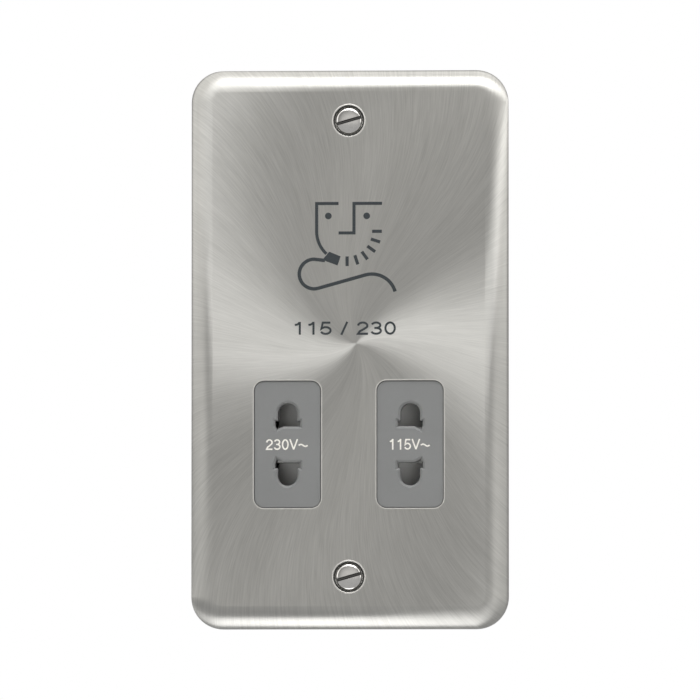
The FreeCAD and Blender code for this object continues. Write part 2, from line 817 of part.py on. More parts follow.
def make_shutter_slide():
    """One slide shutters both outlets. A plug in either one pushes it aside by its ramp, which
    leaves the other outlet covered."""
    body = new_body("shutter_slide")
    pad(body, "form", "slide_front", "slide_back",
        [centred_box("0", "outlet_up", "slide_length", "slide_height")])
    for name, low, high in (("lower_ramps", "-slide_height / 2", "-web_height / 2"),
                            ("upper_ramps", "web_height / 2", "slide_height / 2")):
        ramps = [[(f"{side} * ramp_start", "slide_front"),
                  (f"{side} * slide_half", "slide_front"),
                  (f"{side} * slide_half", "ramp_end")] for side in (-1, 1)]
        pocket(body, name, f"outlet_up + {low}", f"outlet_up + {high}", ramps, "XY_Plane")
    spring_hole = [circle("spring_depth", "outlet_up", "spring_bore")]
    pocket(body, "right_spring_hole", "spring_seat", "slide_half", spring_hole, "YZ_Plane")
    pocket(body, "left_spring_hole", "-slide_half", "-spring_seat", spring_hole, "YZ_Plane")
    pocket(body, "bridge_seat", "bridge_front", "slide_back",
           [centred_box("0", "outlet_up", "bridge_length", "bridge_height")])


def make_switch_bridge():
    """The bridge on the slide's back, which joins feed and load when a plug is in."""
    body = new_body("switch_bridge")
    pad(body, "form", "bridge_front", "bridge_front + bridge_thick",
        [centred_box("0", "outlet_up", "bridge_length", "bridge_height", "0.5")])


# Contact carrier, contacts and switch contacts

def carrier_screw_places():
    """The four screws through the carrier into the ends of the tray."""
    return [(f"{side} * carrier_screw_x", f"outlet_up + {end} * carrier_screw_height")
            for side in (-1, 1) for end in (-1, 1)]


def load_outline():
    """Two pads joined by a link above them, one sheet."""
    reach = "load_pad_outer"
    inner = "load_pad_inner"
    low = "outlet_up - bridge_height / 2"
    link = "outlet_up + load_link_low"
    high = "outlet_up + load_link_high"
    return [(f"-{reach}", low), (f"-{inner}", low), (f"-{inner}", link), (inner, link),
            (inner, low), (reach, low), (reach, high), (f"-{reach}", high)]


def feed_outline():
    """The middle pad."""
    return centred_box("0", "outlet_up", "feed_pad_length", "bridge_height")


def load_tail_outline():
    """Where the load contact's tail goes through the carrier."""
    return box("load_pad_outer - tail_width", "outlet_up + load_link_high - strip_thick",
               "load_pad_outer", "outlet_up + load_link_high")


def feed_tail_outline():
    """Where the feed contact's tail goes through the carrier."""
    return box("-tail_width / 2", "outlet_up - bridge_height / 2",
               "tail_width / 2", "outlet_up - bridge_height / 2 + strip_thick")


def make_contact_carrier():
    """The plate behind the slide, which carries the pin contacts and the switch contacts."""
    body = new_body("contact_carrier")
    pad(body, "form", "tray_top", "carrier_back",
        [centred_box("0", "outlet_up", "2 * tray_outer_width", "2 * tray_outer_height", "1.5")])
    slots = [centred_box(f"{side} * outlet_pitch / 2", f"outlet_up + {end} * pin_up",
                         "pin_slot_width", "pin_slot_height", "1.0")
             for side in (-1, 1) for end in (-1, 1)]
    pocket(body, "pin_slots", "tray_top", "carrier_back", slots)
    pocket(body, "switch_recess", "tray_top", "tray_top + strip_thick",
           [load_outline(), feed_outline()])
    pocket(body, "tail_slots", "tray_top + strip_thick", "carrier_back",
           [load_tail_outline(), feed_tail_outline()])
    pocket(body, "screw_holes", "tray_top", "carrier_back",
           [circle(across, up, "carrier_screw_radius + screw_clear")
            for across, up in carrier_screw_places()])
    pegs = [(f"{side} * outlet_pitch / 2", f"outlet_up + {end} * peg_up")
            for side in (-1, 1) for end in (-1, 1)]
    pad(body, "pegs", "carrier_back", "carrier_back + strip_thick",
        [circle(across, up, "peg_radius") for across, up in pegs])
    pad(body, "peg_heads", "carrier_back + strip_thick",
        "carrier_back + strip_thick + peg_head_thick",
        [circle(across, up, "peg_head_radius") for across, up in pegs])


def pin_clip(side, end):
    """A spring strip folded to a U that grips one pin, with two feet on the carrier."""
    middle = value("pin_up")
    half = value("strip_half")
    foot = value("strip_foot")
    base = value("strip_base")
    centre = value("outlet_up")
    steps = [(foot, middle - half - value("inner_foot")), (foot, middle - half), (base, middle - half),
             (base, middle + half), (foot, middle + half), (foot, middle + half + value("outer_foot"))]
    across = side * value("outlet_pitch") / 2
    width = value("strip_width")
    strip = bent_strip([(depth, centre + end * up) for depth, up in steps], value("strip_thick"),
                       value("strip_thick"), across - width / 2, across + width / 2)
    peg_hole = bore(across, value("carrier_back"), centre + end * value("peg_up"),
                    value("peg_radius"), value("strip_thick"))
    return strip.cut(peg_hole)


def make_pin_contacts():
    """The separate live contacts at the top and the common contact along the bottom."""
    as_shape("contact_230", pin_clip(-1, 1))
    as_shape("contact_115", pin_clip(1, 1))
    reach = value("outlet_pitch / 2 - strip_width / 2")
    foot_end = value("pin_up + strip_half + outer_foot")
    foot_start = value("pin_up + strip_half + strip_thick")
    bar = Part.makeBox(2 * reach, value("strip_thick"), foot_end - foot_start,
                       Vector(-reach, value("carrier_back"), value("outlet_up") - foot_end))
    common = pin_clip(-1, -1).fuse([bar, pin_clip(1, -1)]).removeSplitter()
    as_shape("contact_common", common)


def make_switch_contacts():
    """The feed pad and the load pads, flush in the carrier's face, each with a tail behind."""
    for name, outline, tail in (("switch_feed_contact", feed_outline(), feed_tail_outline()),
                                ("switch_load_contact", load_outline(), load_tail_outline())):
        body = new_body(name)
        pad(body, "pads", "tray_top", "tray_top + strip_thick", [outline])
        pad(body, "tail", "tray_top + strip_thick", "carrier_back + tail_length", [tail])


# Small screws

def small_screw(name, across, depth, up, radius, length):
    """A slotted cheese-head screw driven from behind: its shank runs forward from y = depth."""
    shank = cylinder(f"{name}_shank", across, f"{depth} - ({length})", up, radius, length)
    head = cylinder(f"{name}_head", across, depth, up, f"{radius} * screw_head_ratio",
                    "screw_head_thick")
    slot = block(f"{name}_slot",
                 (f"{across} - {radius} * screw_head_ratio - 1",
                  f"{depth} + screw_head_thick - screw_slot_depth",
                  f"{up} - screw_slot_width / 2"),
                 (f"{across} + {radius} * screw_head_ratio + 1",
                  f"{depth} + screw_head_thick + 1",
                  f"{up} + screw_slot_width / 2"))
    return cut(name, fused(f"{name}_form", [shank, head]), slot)


def front_screw(name, across, depth, up, radius, length):
    """A slotted cheese-head screw driven from the front: its shank runs back from y = depth."""
    shank = cylinder(f"{name}_shank", across, depth, up, radius, length)
    head = cylinder(f"{name}_head", across, f"{depth} - screw_head_thick", up,
                    f"{radius} * screw_head_ratio", "screw_head_thick")
    slot = block(f"{name}_slot",
                 (f"{across} - {radius} * screw_head_ratio - 1",
                  f"{depth} - screw_head_thick - 1",
                  f"{up} - screw_slot_width / 2"),
                 (f"{across} + {radius} * screw_head_ratio + 1",
                  f"{depth} - screw_head_thick + screw_slot_depth",
                  f"{up} + screw_slot_width / 2"))
    return cut(name, fused(f"{name}_form", [shank, head]), slot)


def make_carrier_screws():
    """Four screws that hold the carrier on the tray."""
    screws = [small_screw(f"carrier_screw_{number}", across, "carrier_back", up,
                          "carrier_screw_radius", "carrier_screw_length")
              for number, (across, up) in enumerate(carrier_screw_places(), start=1)]
    as_group("carrier_screws", screws)


def make_housing_screws():
    """Four screws through the housing's ears into the moulding's bosses."""
    places = [(f"{side} * ear_x", f"{end} * ear_up") for side in (-1, 1) for end in (-1, 1)]
    screws = [small_screw(f"housing_screw_{number}", across, "boss_top + ear_thick", up,
                          "housing_screw_radius", "housing_screw_length")
              for number, (across, up) in enumerate(places, start=1)]
    as_group("housing_screws", screws)


def core_screw_places():
    """The four screws at the corners of the core."""
    return [(f"{side} * core_hole_x", up) for side in (-1, 1) for up in ("core_hole_low", "core_hole_high")]


def make_core_screws():
    """Four screws through the core into the housing's pillars."""
    screws = [front_screw(f"core_screw_{number}", across, "core_front", up,
                          "core_screw_radius", "core_screw_length")
              for number, (across, up) in enumerate(core_screw_places(), start=1)]
    as_group("core_screws", screws)


# Rear housing

def housing_ear(side, end):
    """An ear that reaches past the housing's end wall to a boss of the moulding."""
    left = f"{side} * ear_x - boss_radius"
    right = f"{side} * ear_x + boss_radius"
    return [(left, f"{end} * (housing_top - housing_wall / 2)"),
            (right, f"{end} * (housing_top - housing_wall / 2)"),
            (right, f"{end} * ear_up", "boss_radius"),
            (f"{side} * ear_x", f"{end} * (ear_up + boss_radius)", "boss_radius"),
            (left, f"{end} * ear_up")]


def make_rear_housing():
    """The back box: deep over the transformer, shallow behind the mains terminals."""
    body = new_body("rear_housing")
    low_outer = box("-housing_half", "housing_bottom", "housing_half", "housing_top", "housing_corner")
    deep_outer = box("-housing_half", "step_bottom", "housing_half", "housing_top", "housing_corner")
    inner_corner = "(housing_corner - housing_wall)"
    low_inner = box("-housing_half + housing_wall", "housing_bottom + housing_wall",
                    "housing_half - housing_wall", "housing_top - housing_wall", inner_corner)
    deep_inner = box("-housing_half + housing_wall", "step_bottom + housing_wall",
                     "housing_half - housing_wall", "housing_top - housing_wall", inner_corner)
    pad(body, "front_form", "base_back", "shelf_back", [low_outer])
    pad(body, "deep_form", "shelf_back", "housing_back", [deep_outer])
    back = value("housing_back")
    dress_edges(body, "rear_round", "rear_round", lambda edge: lies_at(edge, 1, back))
    pocket(body, "front_room", "base_back", "shelf_back - housing_wall", [low_inner])
    pocket(body, "deep_room", "shelf_back - housing_wall", "housing_back - housing_wall", [deep_inner])
    pad(body, "ears", "boss_top", "boss_top + ear_thick",
        [housing_ear(side, end) for side in (-1, 1) for end in (-1, 1)])
    pocket(body, "ear_holes", "boss_top", "boss_top + ear_thick",
           [circle(f"{side} * ear_x", f"{end} * ear_up", "housing_screw_radius + screw_clear")
            for side in (-1, 1) for end in (-1, 1)])
    pad(body, "pillars", "core_back", "housing_back - housing_wall",
        [circle(across, up, "pillar_radius") for across, up in core_screw_places()])
    pocket(body, "pillar_holes", "core_back", "core_front + core_screw_length + 0.5",
           [circle(across, up, "core_screw_radius + thread_clear") for across, up in core_screw_places()])
    vents = [centred_box(f"{step} * vent_pitch", "(core_low + core_high) / 2",
                         "vent_width", "vent_height", "(vent_width / 2 - 0.05)")
             for step in range(-2, 3)]
    pocket(body, "vents", "housing_back - housing_wall", "housing_back", vents)
    dividers = [box(f"{side} * terminal_pitch / 2 - divider_thick / 2", "housing_bottom + terminal_inset / 2",
                    f"{side} * terminal_pitch / 2 + divider_thick / 2", "step_bottom + housing_wall / 2")
                for side in (-1, 1)]
    cheeks = [box(f"{side} * (housing_half - housing_wall / 2) - housing_wall / 2",
                  "housing_bottom + housing_corner",
                  f"{side} * (housing_half - housing_wall / 2) + housing_wall / 2",
                  "step_bottom + housing_corner") for side in (-1, 1)]
    pad(body, "dividers", "shelf_back", "shelf_back + rib_height", dividers + cheeks)
    pocket(body, "stem_holes", "shelf_back - housing_wall", "shelf_back",
           [circle(f"{side} * terminal_pitch", "terminal_up", "stem_radius + stem_clear")
            for side in (-1, 0, 1)])
    strap_room = box("terminal_pitch - strap_width / 2 - stem_clear", "housing_bottom",
                     "terminal_pitch + strap_width / 2 + stem_clear",
                     "terminal_up + strap_tail + stem_clear")
    pocket(body, "strap_recess", "shelf_back - strap_thick", "shelf_back", [strap_room])
    strap_corner = box("terminal_pitch - strap_width / 2 - stem_clear", "housing_bottom",
                       "terminal_pitch + strap_width / 2 + stem_clear", "housing_bottom + strap_bend")
    pocket(body, "strap_corner", "shelf_back - strap_thick - strap_bend", "shelf_back", [strap_corner])


# Transformer

def make_core():
    """The laminated core: an E with the bobbin on its middle leg, closed by an I across the top."""
    half = "core_half"
    leg = "core_limb"
    outer_leg = "core_half - core_limb"
    e_outline = [
        (f"-{half}", "core_low"),
        (half, "core_low"),
        (half, "core_window_high"),
        (outer_leg, "core_window_high"),
        (outer_leg, "core_window_low"),
        (leg, "core_window_low"),
        (leg, "core_window_high"),
        (f"-{leg}", "core_window_high"),
        (f"-{leg}", "core_window_low"),
        (f"-({outer_leg})", "core_window_low"),
        (f"-({outer_leg})", "core_window_high"),
        (f"-{half}", "core_window_high"),
    ]
    i_outline = box(f"-{half}", "core_window_high", half, "core_high")
    for name, outline, hole_up in (("core_e", e_outline, "core_hole_low"),
                                   ("core_i", i_outline, "core_hole_high")):
        body = new_body(name)
        pad(body, "stack", "core_front", "core_back", [outline])
        holes = [circle(f"{side} * core_hole_x", hole_up, "core_screw_radius + screw_clear")
                 for side in (-1, 1)]
        pocket(body, "holes", "core_front", "core_back", holes)


def plan_box(half_width, half_depth, corner=None):
    """A rectangle about the core's middle leg, seen from above."""
    return centred_box("0", "core_mid", f"2 * ({half_width})", f"2 * ({half_depth})", corner)


def tag_outline(step):
    """The section of a solder tag, seen from above."""
    return centred_box(f"{step} * tag_pitch", "tag_depth", "tag_width", "tag_thick")


SECONDARY_TAGS = (-1, 0, 1)
PRIMARY_TAGS = (-1, 1)


def make_bobbin():
    """The split bobbin: a square tube, three flanges and a rail at each end for the tags."""
    body = new_body("bobbin")
    tube = plan_box("tube_half_width", "tube_half_depth")
    flange = plan_box("flange_half_width", "flange_half_depth", "1.5")
    leg = plan_box("core_leg_half + bobbin_clear", "core_stack / 2 + bobbin_clear")
    rail = box("-rail_width / 2", "rail_front", "rail_width / 2", "rail_front + rail_thick")
    pad(body, "tube", "bobbin_low", "bobbin_high", [tube], "XY_Plane")
    pad(body, "low_flange", "bobbin_low", "bobbin_low + flange_thick", [flange], "XY_Plane")
    pad(body, "middle_flange", "bobbin_middle - flange_thick / 2", "bobbin_middle + flange_thick / 2",
        [flange], "XY_Plane")
    pad(body, "high_flange", "bobbin_high - flange_thick", "bobbin_high", [flange], "XY_Plane")
    pad(body, "low_rail", "bobbin_low - rail_height", "bobbin_low", [rail], "XY_Plane")
    pad(body, "high_rail", "bobbin_high", "bobbin_high + rail_height", [rail], "XY_Plane")
    pocket(body, "leg_hole", "bobbin_low", "bobbin_high", [leg], "XY_Plane")
    pocket(body, "low_tag_slots", "bobbin_low - rail_height", "bobbin_low - rail_height + tag_seat",
           [tag_outline(step) for step in SECONDARY_TAGS], "XY_Plane")
    pocket(body, "high_tag_slots", "bobbin_high + rail_height - tag_seat", "bobbin_high + rail_height",
           [tag_outline(step) for step in PRIMARY_TAGS], "XY_Plane")


def make_bobbin_tags():
    """Flat solder tags: three below for the secondary, two above for the primary."""
    rows = [(SECONDARY_TAGS, "bobbin_low - rail_height + tag_seat - tag_length", "secondary"),
            (PRIMARY_TAGS, "bobbin_high + rail_height - tag_seat", "primary")]
    tags = []
    for steps, low, name in rows:
        for step in steps:
            tags.append(block(f"{name}_tag_{step + 2}",
                              (f"{step} * tag_pitch - tag_width / 2", "tag_depth - tag_thick / 2", low),
                              (f"{step} * tag_pitch + tag_width / 2", "tag_depth + tag_thick / 2",
                               f"{low} + tag_length")))
    as_group("bobbin_tags", tags)


def make_windings():
    """The secondary in the lower chamber, the primary in the upper one, and tape round both."""
    tube = plan_box("tube_half_width", "tube_half_depth")
    coil = plan_box("winding_half_width", "winding_half_depth", "winding_corner")
    wrap = plan_box("winding_half_width + tape_thick", "winding_half_depth + tape_thick",
                    "(winding_corner + tape_thick)")
    secondary = ("bobbin_low + flange_thick", "bobbin_middle - flange_thick / 2")
    primary = ("bobbin_middle + flange_thick / 2", "bobbin_high - flange_thick")
    for name, (low, high) in (("secondary_winding", secondary), ("primary_winding", primary)):
        pad(new_body(name), "coil", low, high, [coil, tube], "XY_Plane")
    tape = new_body("winding_tape")
    tape.AllowCompound = True
    pad(tape, "lower_wrap", *secondary, [wrap, coil], "XY_Plane")
    pad(tape, "upper_wrap", *primary, [wrap, coil], "XY_Plane")


def make_thermal_cutout():
    """The resetting thermal cut-out that lies on the taped primary."""
    body = new_body("thermal_cutout")
    pad(body, "form", "tape_front - cutout_thick", "tape_front",
        [centred_box("0", "primary_up", "cutout_width", "cutout_height", "1.0")])
    front = value("tape_front - cutout_thick")
    dress_edges(body, "edges", "cutout_round", lambda edge: lies_at(edge, 1, front))


# Mains terminals and earthing

def make_terminal(name, side):
    """A brass block with a bore for the mains wire, open below, and a stem through the shelf."""
    body = new_body(name)
    across = f"{side} * terminal_pitch"
    form = box(f"{across} - terminal_width / 2", "terminal_low",
               f"{across} + terminal_width / 2", "terminal_low + terminal_height")
    pad(body, "form", "shelf_back", "terminal_back", [form])
    back = value("terminal_back")
    dress_edges(body, "edges", "terminal_edge", lambda edge: lies_at(edge, 1, back),
                "PartDesign::Chamfer")
    pad(body, "stem", "stem_end", "shelf_back", [circle(across, "terminal_up", "stem_radius")])
    pocket(body, "wire_bore", "terminal_low", "terminal_low + terminal_height",
           [circle(across, "wire_bore_back", "wire_bore_radius")], "XY_Plane")
    pocket(body, "screw_hole", "wire_bore_back", "terminal_back",
           [circle(across, "terminal_up", "terminal_screw_radius + thread_clear")])


def make_terminal_screws():
    """Three clamping screws, backed off so that the wire bores are free."""
    length = "terminal_back - wire_bore_back - wire_bore_radius"
    screws = [small_screw(f"terminal_screw_{side + 2}", f"{side} * terminal_pitch",
                          "terminal_back + 0.4", "terminal_up", "terminal_screw_radius", length)
              for side in (-1, 0, 1)]
    as_group("terminal_screws", screws)


def make_earth_strap():
    """A tinned strap from a stud of the plate, up the housing's end wall, under the earth terminal."""
    thick = value("strap_thick")
    across = value("terminal_pitch")
    half = value("strap_width") / 2
    wall = value("housing_bottom") - thick / 2
    steps = [(value("base_back") + thick / 2, -value("stud_height + strap_tail")),
             (value("base_back") + thick / 2, wall),
             (value("shelf_back") - thick / 2, wall),
             (value("shelf_back") - thick / 2, value("terminal_up + strap_tail"))]
    strip = bent_strip(steps, thick, value("strap_bend"), across - half, across + half)
    stud_hole = bore(across, value("base_back") - 1, -value("stud_height"),
                     value("stud_radius + screw_clear"), thick + 2)
    stem_hole = bore(across, value("shelf_back") - thick - 1, value("terminal_up"),
                     value("stem_radius + stem_clear"), thick + 2)
    as_shape("earth_strap", strip.cut([stud_hole, stem_hole]))


def make_stud_retainers():
    """Push-on retainers on the plate's studs. The one on the earth stud lies on the strap."""
    retainers = []
    for number, (across, up) in enumerate(stud_places(), start=1):
        on_strap = value(across) > 0 and value(up) < 0
        seat = "strap_back" if on_strap else "base_back"
        disc = cylinder(f"retainer_disc_{number}", across, seat, up, "retainer_radius",
                        "retainer_thick")
        hole = cylinder(f"retainer_hole_{number}", across, seat, up, "stud_radius", "retainer_thick")
        retainers.append(cut(f"retainer_{number}", disc, hole))
    as_group("stud_retainers", retainers)


# Leads inside the housing

def make_leads():
    """Seven insulated leads, from solder joint to solder joint."""
    stem_end = value("stem_end")
    terminal_up = value("terminal_up")
    live_x = -value("terminal_pitch")
    outlet_x = value("outlet_pitch") / 2
    outlet_up = value("outlet_up")
    clip_side = value("outlet_up + pin_up + strip_half + strip_thick / 2")
    clip_back = value("strip_base + strip_thick / 2")
    lower_clip = value("outlet_up - pin_up")
    clip_mid = value("(strip_foot + strip_base) / 2")
    tag_x = value("tag_pitch")
    tag_y = value("tag_depth")
    low_tag = value("bobbin_low - rail_height + tag_seat - tag_length")
    high_tag = value("bobbin_high + rail_height - tag_seat + tag_length") - 1.6
    high_tag_side = tag_x + value("tag_width") / 2
    cutout_y = value("tape_front - cutout_thick / 2")
    cutout_z = value("primary_up")
    cutout_side = value("cutout_width") / 2
    tail_end = value("carrier_back + tail_length")
    feed_z = value("outlet_up - bridge_height / 2 + strip_thick / 2")
    load_x = value("load_pad_outer - tail_width / 2")
    load_z = value("outlet_up + load_link_high - strip_thick / 2")

    lead("lead_live", [
        (live_x, stem_end, terminal_up), (live_x, 15.4, terminal_up), (-22.6, 13.2, -38),
        (-22.4, 13.0, -20), (-22, 11, -8), (-21, 4.4, 2), (-21, 4, 14), (-19.6, 1.6, 25),
        (-14.5, cutout_y, cutout_z), (-cutout_side, cutout_y, cutout_z)])
    lead("lead_neutral", [
        (0, stem_end, terminal_up), (0, 14, terminal_up), (-8, 8.5, -46.6), (-18, 7.6, -45),
        (-24.6, 11.6, -40.4), (-26.2, 13.6, -31), (-26.2, 13, -16), (-25.6, 8.6, -5.5),
        (-24.4, 4.2, 1.5), (-24.4, 4, 20), (-24, 4, 34), (-20.6, tag_y, high_tag),
        (-high_tag_side, tag_y, high_tag)])
    lead("lead_cutout_to_switch", [
        (cutout_side, cutout_y, cutout_z), (14.5, cutout_y, cutout_z), (19.6, 1.6, 25), (21, 4, 14),
        (21, 4.2, 1), (20, 10.5, -4.6), (12, 17, -9), (4, 20, -16), (0, 18, feed_z), (0, tail_end, feed_z)])
    lead("lead_switch_to_primary", [
        (load_x, tail_end, load_z), (load_x, 17, load_z), (15, 22.5, -12), (22.6, 17, -6.6),
        (24.6, 9, -4), (24.6, 4.2, 1), (24.4, 4, 20), (24, 4, 34), (20.6, tag_y, high_tag),
        (high_tag_side, tag_y, high_tag)])
    lead("lead_230", [
        (-outlet_x, clip_mid, clip_side), (-outlet_x, clip_mid, -9.4), (-14.6, 7.6, -4.6),
        (-tag_x, tag_y, -1.4), (-tag_x, tag_y, low_tag)])
    lead("lead_115", [
        (outlet_x, clip_mid, clip_side), (outlet_x, clip_mid, -9.4), (14.6, 7.6, -4.6),
        (tag_x, tag_y, -1.4), (tag_x, tag_y, low_tag)])
    lead("lead_common", [
        (-outlet_x, clip_back, lower_clip), (-outlet_x, 22.6, lower_clip), (-9.6, 23.4, -24),
        (-4, 19, -13), (-1, 10.5, -6), (0, tag_y, -2.4), (0, tag_y, low_tag)])


make_front_plate()
make_fixing_screw("fixing_screw_lower", "-fixing_pitch / 2")
make_fixing_screw("fixing_screw_upper", "fixing_pitch / 2")
make_outlet_insert("outlet_insert_230", -1)
make_outlet_insert("outlet_insert_115", 1)
make_front_moulding()
make_shutter_slide()
make_switch_bridge()
spring("shutter_spring_left", -1)
spring("shutter_spring_right", 1)
make_contact_carrier()
make_pin_contacts()
make_switch_contacts()
make_carrier_screws()
make_rear_housing()
make_housing_screws()
make_core()
make_core_screws()
make_bobbin()
make_bobbin_tags()
make_windings()
make_thermal_cutout()
make_terminal("terminal_live", -1)
make_terminal("terminal_neutral", 0)
make_terminal("terminal_earth", 1)
make_terminal_screws()
make_earth_strap()
make_stud_retainers()
make_leads()

doc.recompute()
for item in doc.Objects:
    if "Invalid" in item.State or "Error" in item.State:
        raise RuntimeError(f"{item.Name} failed: {item.State}")
for name, item in parts.items():
    if item.Shape.isNull() or not item.Shape.isValid():
        raise RuntimeError(f"{name} has no valid shape")

os.makedirs("parts", exist_ok=True)
for name, item in parts.items():
    item.Shape.exportStep(f"parts/{name}.step")
print(f"{len(parts)} sub-parts written")
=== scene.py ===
import json
import math

import bmesh
import bpy
from mathutils import Matrix, Vector


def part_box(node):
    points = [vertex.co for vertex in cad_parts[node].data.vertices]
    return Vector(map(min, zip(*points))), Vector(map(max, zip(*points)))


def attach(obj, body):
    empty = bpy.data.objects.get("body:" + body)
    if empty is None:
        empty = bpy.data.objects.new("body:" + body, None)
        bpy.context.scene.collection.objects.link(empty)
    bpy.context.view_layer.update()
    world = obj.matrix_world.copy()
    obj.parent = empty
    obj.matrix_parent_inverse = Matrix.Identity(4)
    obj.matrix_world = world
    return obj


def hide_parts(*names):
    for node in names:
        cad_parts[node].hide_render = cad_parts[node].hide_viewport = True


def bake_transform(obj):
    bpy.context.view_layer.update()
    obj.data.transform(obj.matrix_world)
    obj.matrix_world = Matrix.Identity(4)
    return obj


# Looks of the shaver socket: finishes of the CAD nodes, real screws, springs and windings, and print.
# Lengths are in metres. The front faces -Y, X is to the right seen from the front and Z is up.

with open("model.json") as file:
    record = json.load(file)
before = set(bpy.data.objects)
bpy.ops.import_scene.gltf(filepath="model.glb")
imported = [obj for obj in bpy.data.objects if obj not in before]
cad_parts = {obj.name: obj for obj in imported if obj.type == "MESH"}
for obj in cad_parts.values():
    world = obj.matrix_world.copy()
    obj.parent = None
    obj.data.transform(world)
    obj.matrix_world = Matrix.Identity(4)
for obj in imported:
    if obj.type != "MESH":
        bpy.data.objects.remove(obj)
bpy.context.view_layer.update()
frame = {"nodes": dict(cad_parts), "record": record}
MM = 0.001

# Places read from the frame

PLATE_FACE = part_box("front_plate")[0].y
INSERT_LOW, INSERT_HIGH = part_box("outlet_insert_115")
PAD_FACE = INSERT_LOW.y
OUTLET_X = (INSERT_LOW.x + INSERT_HIGH.x) / 2
OUTLET_Z = (INSERT_LOW.z + INSERT_HIGH.z) / 2

# Slot, crown and bevelled rim of the fixing screws, the same on both

SCREW_TURN = math.radians(16)
SLOT_HALF_WIDTH = 0.42 * MM
SLOT_DEPTH = 1.1 * MM
SLOT_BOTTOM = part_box("fixing_screw_upper")[0].y + SLOT_DEPTH
# How far the slot's painted shade reaches past its faces, in the colour mask
SLOT_MARGIN = 0.002 * MM
RIM_DEPTH = 1.1 * MM
CROWN_RISE = 0.3 * MM
CROWN_STEPS = 12
BEVEL = 0.42 * MM

# Brushing: the streaks run out of one point. They bend clockwise close to it and anticlockwise
# further out, where they lean from the radius by (distance / LEAN_RADIUS) cubed, in radians.

BRUSH_CENTRE_X = 2.0 * MM
BRUSH_CENTRE_Z = 1.3 * MM
LEAN_RADIUS = 0.10
CENTRE_TURN = 0.6
CENTRE_REACH = 0.018
STREAKS_AROUND = 165.0
STREAK_CELLS_PER_METRE = 120.0
INNER_STREAKS_AROUND = 22.0
BROAD_STREAKS_AROUND = 9.0
BROAD_CELLS_PER_METRE = 12.0
FINE_SHARE = 0.75

# Thickness of the ink, and the print's places and sizes in millimetres

INK_THICK = 0.03 * MM
INK_STEP = 0.003 * MM
SYMBOL_SHIFT = (0.3, -0.35)
RATING_PLACE = (-1.05, 5.35)
RATING_HEIGHT = 3.4
RATING_WIDTH = 27.0
RATING_WEIGHT = 0.165
PAD_SHIFT = (-0.1, -0.05)
PAD_HEIGHT = 2.83
PAD_230_WIDTH = 11.2
PAD_115_WIDTH = 10.9
PAD_WEIGHT = 0.135

# Edges sharper than this angle in degrees stay sharp
SHARP_ANGLE = 35.0


# Shader graphs

class Graph:
    """A material's node graph, with short calls for the nodes used here."""

    def __init__(self, name):
        self.material = bpy.data.materials.new(name)
        self.material.use_nodes = True
        self.tree = self.material.node_tree
        self.shader = self.tree.nodes["Principled BSDF"]
        self.output = self.tree.nodes["Material Output"]

    def node(self, kind, **settings):
        made = self.tree.nodes.new(kind)
        for key, setting in settings.items():
            setattr(made, key, setting)
        return made

    def feed(self, socket, source):
        """Puts a number, a vector or another node's output into a socket."""
        if isinstance(source, bpy.types.NodeSocket):
            self.tree.links.new(source, socket)
        else:
            socket.default_value = source

    def math(self, operation, first, second=0.0, third=0.0):
        made = self.node("ShaderNodeMath", operation=operation)
        for socket, source in zip(made.inputs, (first, second, third)):
            self.feed(socket, source)
        return made.outputs[0]

    def place(self):
        """The point's own coordinates in metres, as x, y and z."""
        coordinates = self.node("ShaderNodeTexCoord").outputs["Object"]
        parts = self.node("ShaderNodeSeparateXYZ")
        self.feed(parts.inputs[0], coordinates)
        return tuple(parts.outputs)

    def joined(self, x, y, z):
        made = self.node("ShaderNodeCombineXYZ")
        for socket, source in zip(made.inputs, (x, y, z)):
            self.feed(socket, source)
        return made.outputs[0]

    def distance(self, first, second):
        """How far a point is from the origin of two of its coordinates."""
        squares = [self.math("MULTIPLY", part, part) for part in (first, second)]
        return self.math("SQRT", self.math("ADD", *squares))

    def noise(self, scale, detail, roughness=0.5, vector=None):
        """Soft noise from 0 to 1. Without a vector it follows the point's coordinates."""
        made = self.node("ShaderNodeTexNoise")
        if vector is None:
            vector = self.node("ShaderNodeTexCoord").outputs["Object"]
        self.feed(made.inputs["Vector"], vector)
        made.inputs["Scale"].default_value = scale
        made.inputs["Detail"].default_value = detail
        made.inputs["Roughness"].default_value = roughness
        return made.outputs["Fac"]

    def colour(self, source, *stops):
        """The surface's colour along a factor, from (place, colour) pairs."""
        made = self.node("ShaderNodeValToRGB")
        self.feed(made.inputs[0], source)
        elements = made.color_ramp.elements
        while len(elements) < len(stops):
            elements.new(0.5)
        for element, (position, colour) in zip(elements, stops):
            element.position = position
            element.color = (*colour, 1.0)
        self.feed(self.shader.inputs["Base Color"], made.outputs[0])

    def roughness(self, source, low, high):
        """The surface's roughness along a factor."""
        self.feed(self.shader.inputs["Roughness"], self.spread(source, low, high))

    def spread(self, source, low, high):
        """Takes a factor from 0..1 to low..high."""
        return self.math("MULTIPLY_ADD", source, high - low, low)

    def bump(self, height, depth, strength):
        made = self.node("ShaderNodeBump")
        made.inputs["Strength"].default_value = strength
        made.inputs["Distance"].default_value = depth
        self.feed(made.inputs["Height"], height)
        self.feed(self.shader.inputs["Normal"], made.outputs[0])

    def set(self, **values):
        """Values that are the same all over, set on the shader's own sockets."""
        for key, setting in values.items():
            self.shader.inputs[key.replace("_", " ")].default_value = setting


def tint(colour, share):
    """A colour made lighter or darker by a share."""
    return tuple(min(1.0, part * (1 + share)) for part in colour)


# Finishes

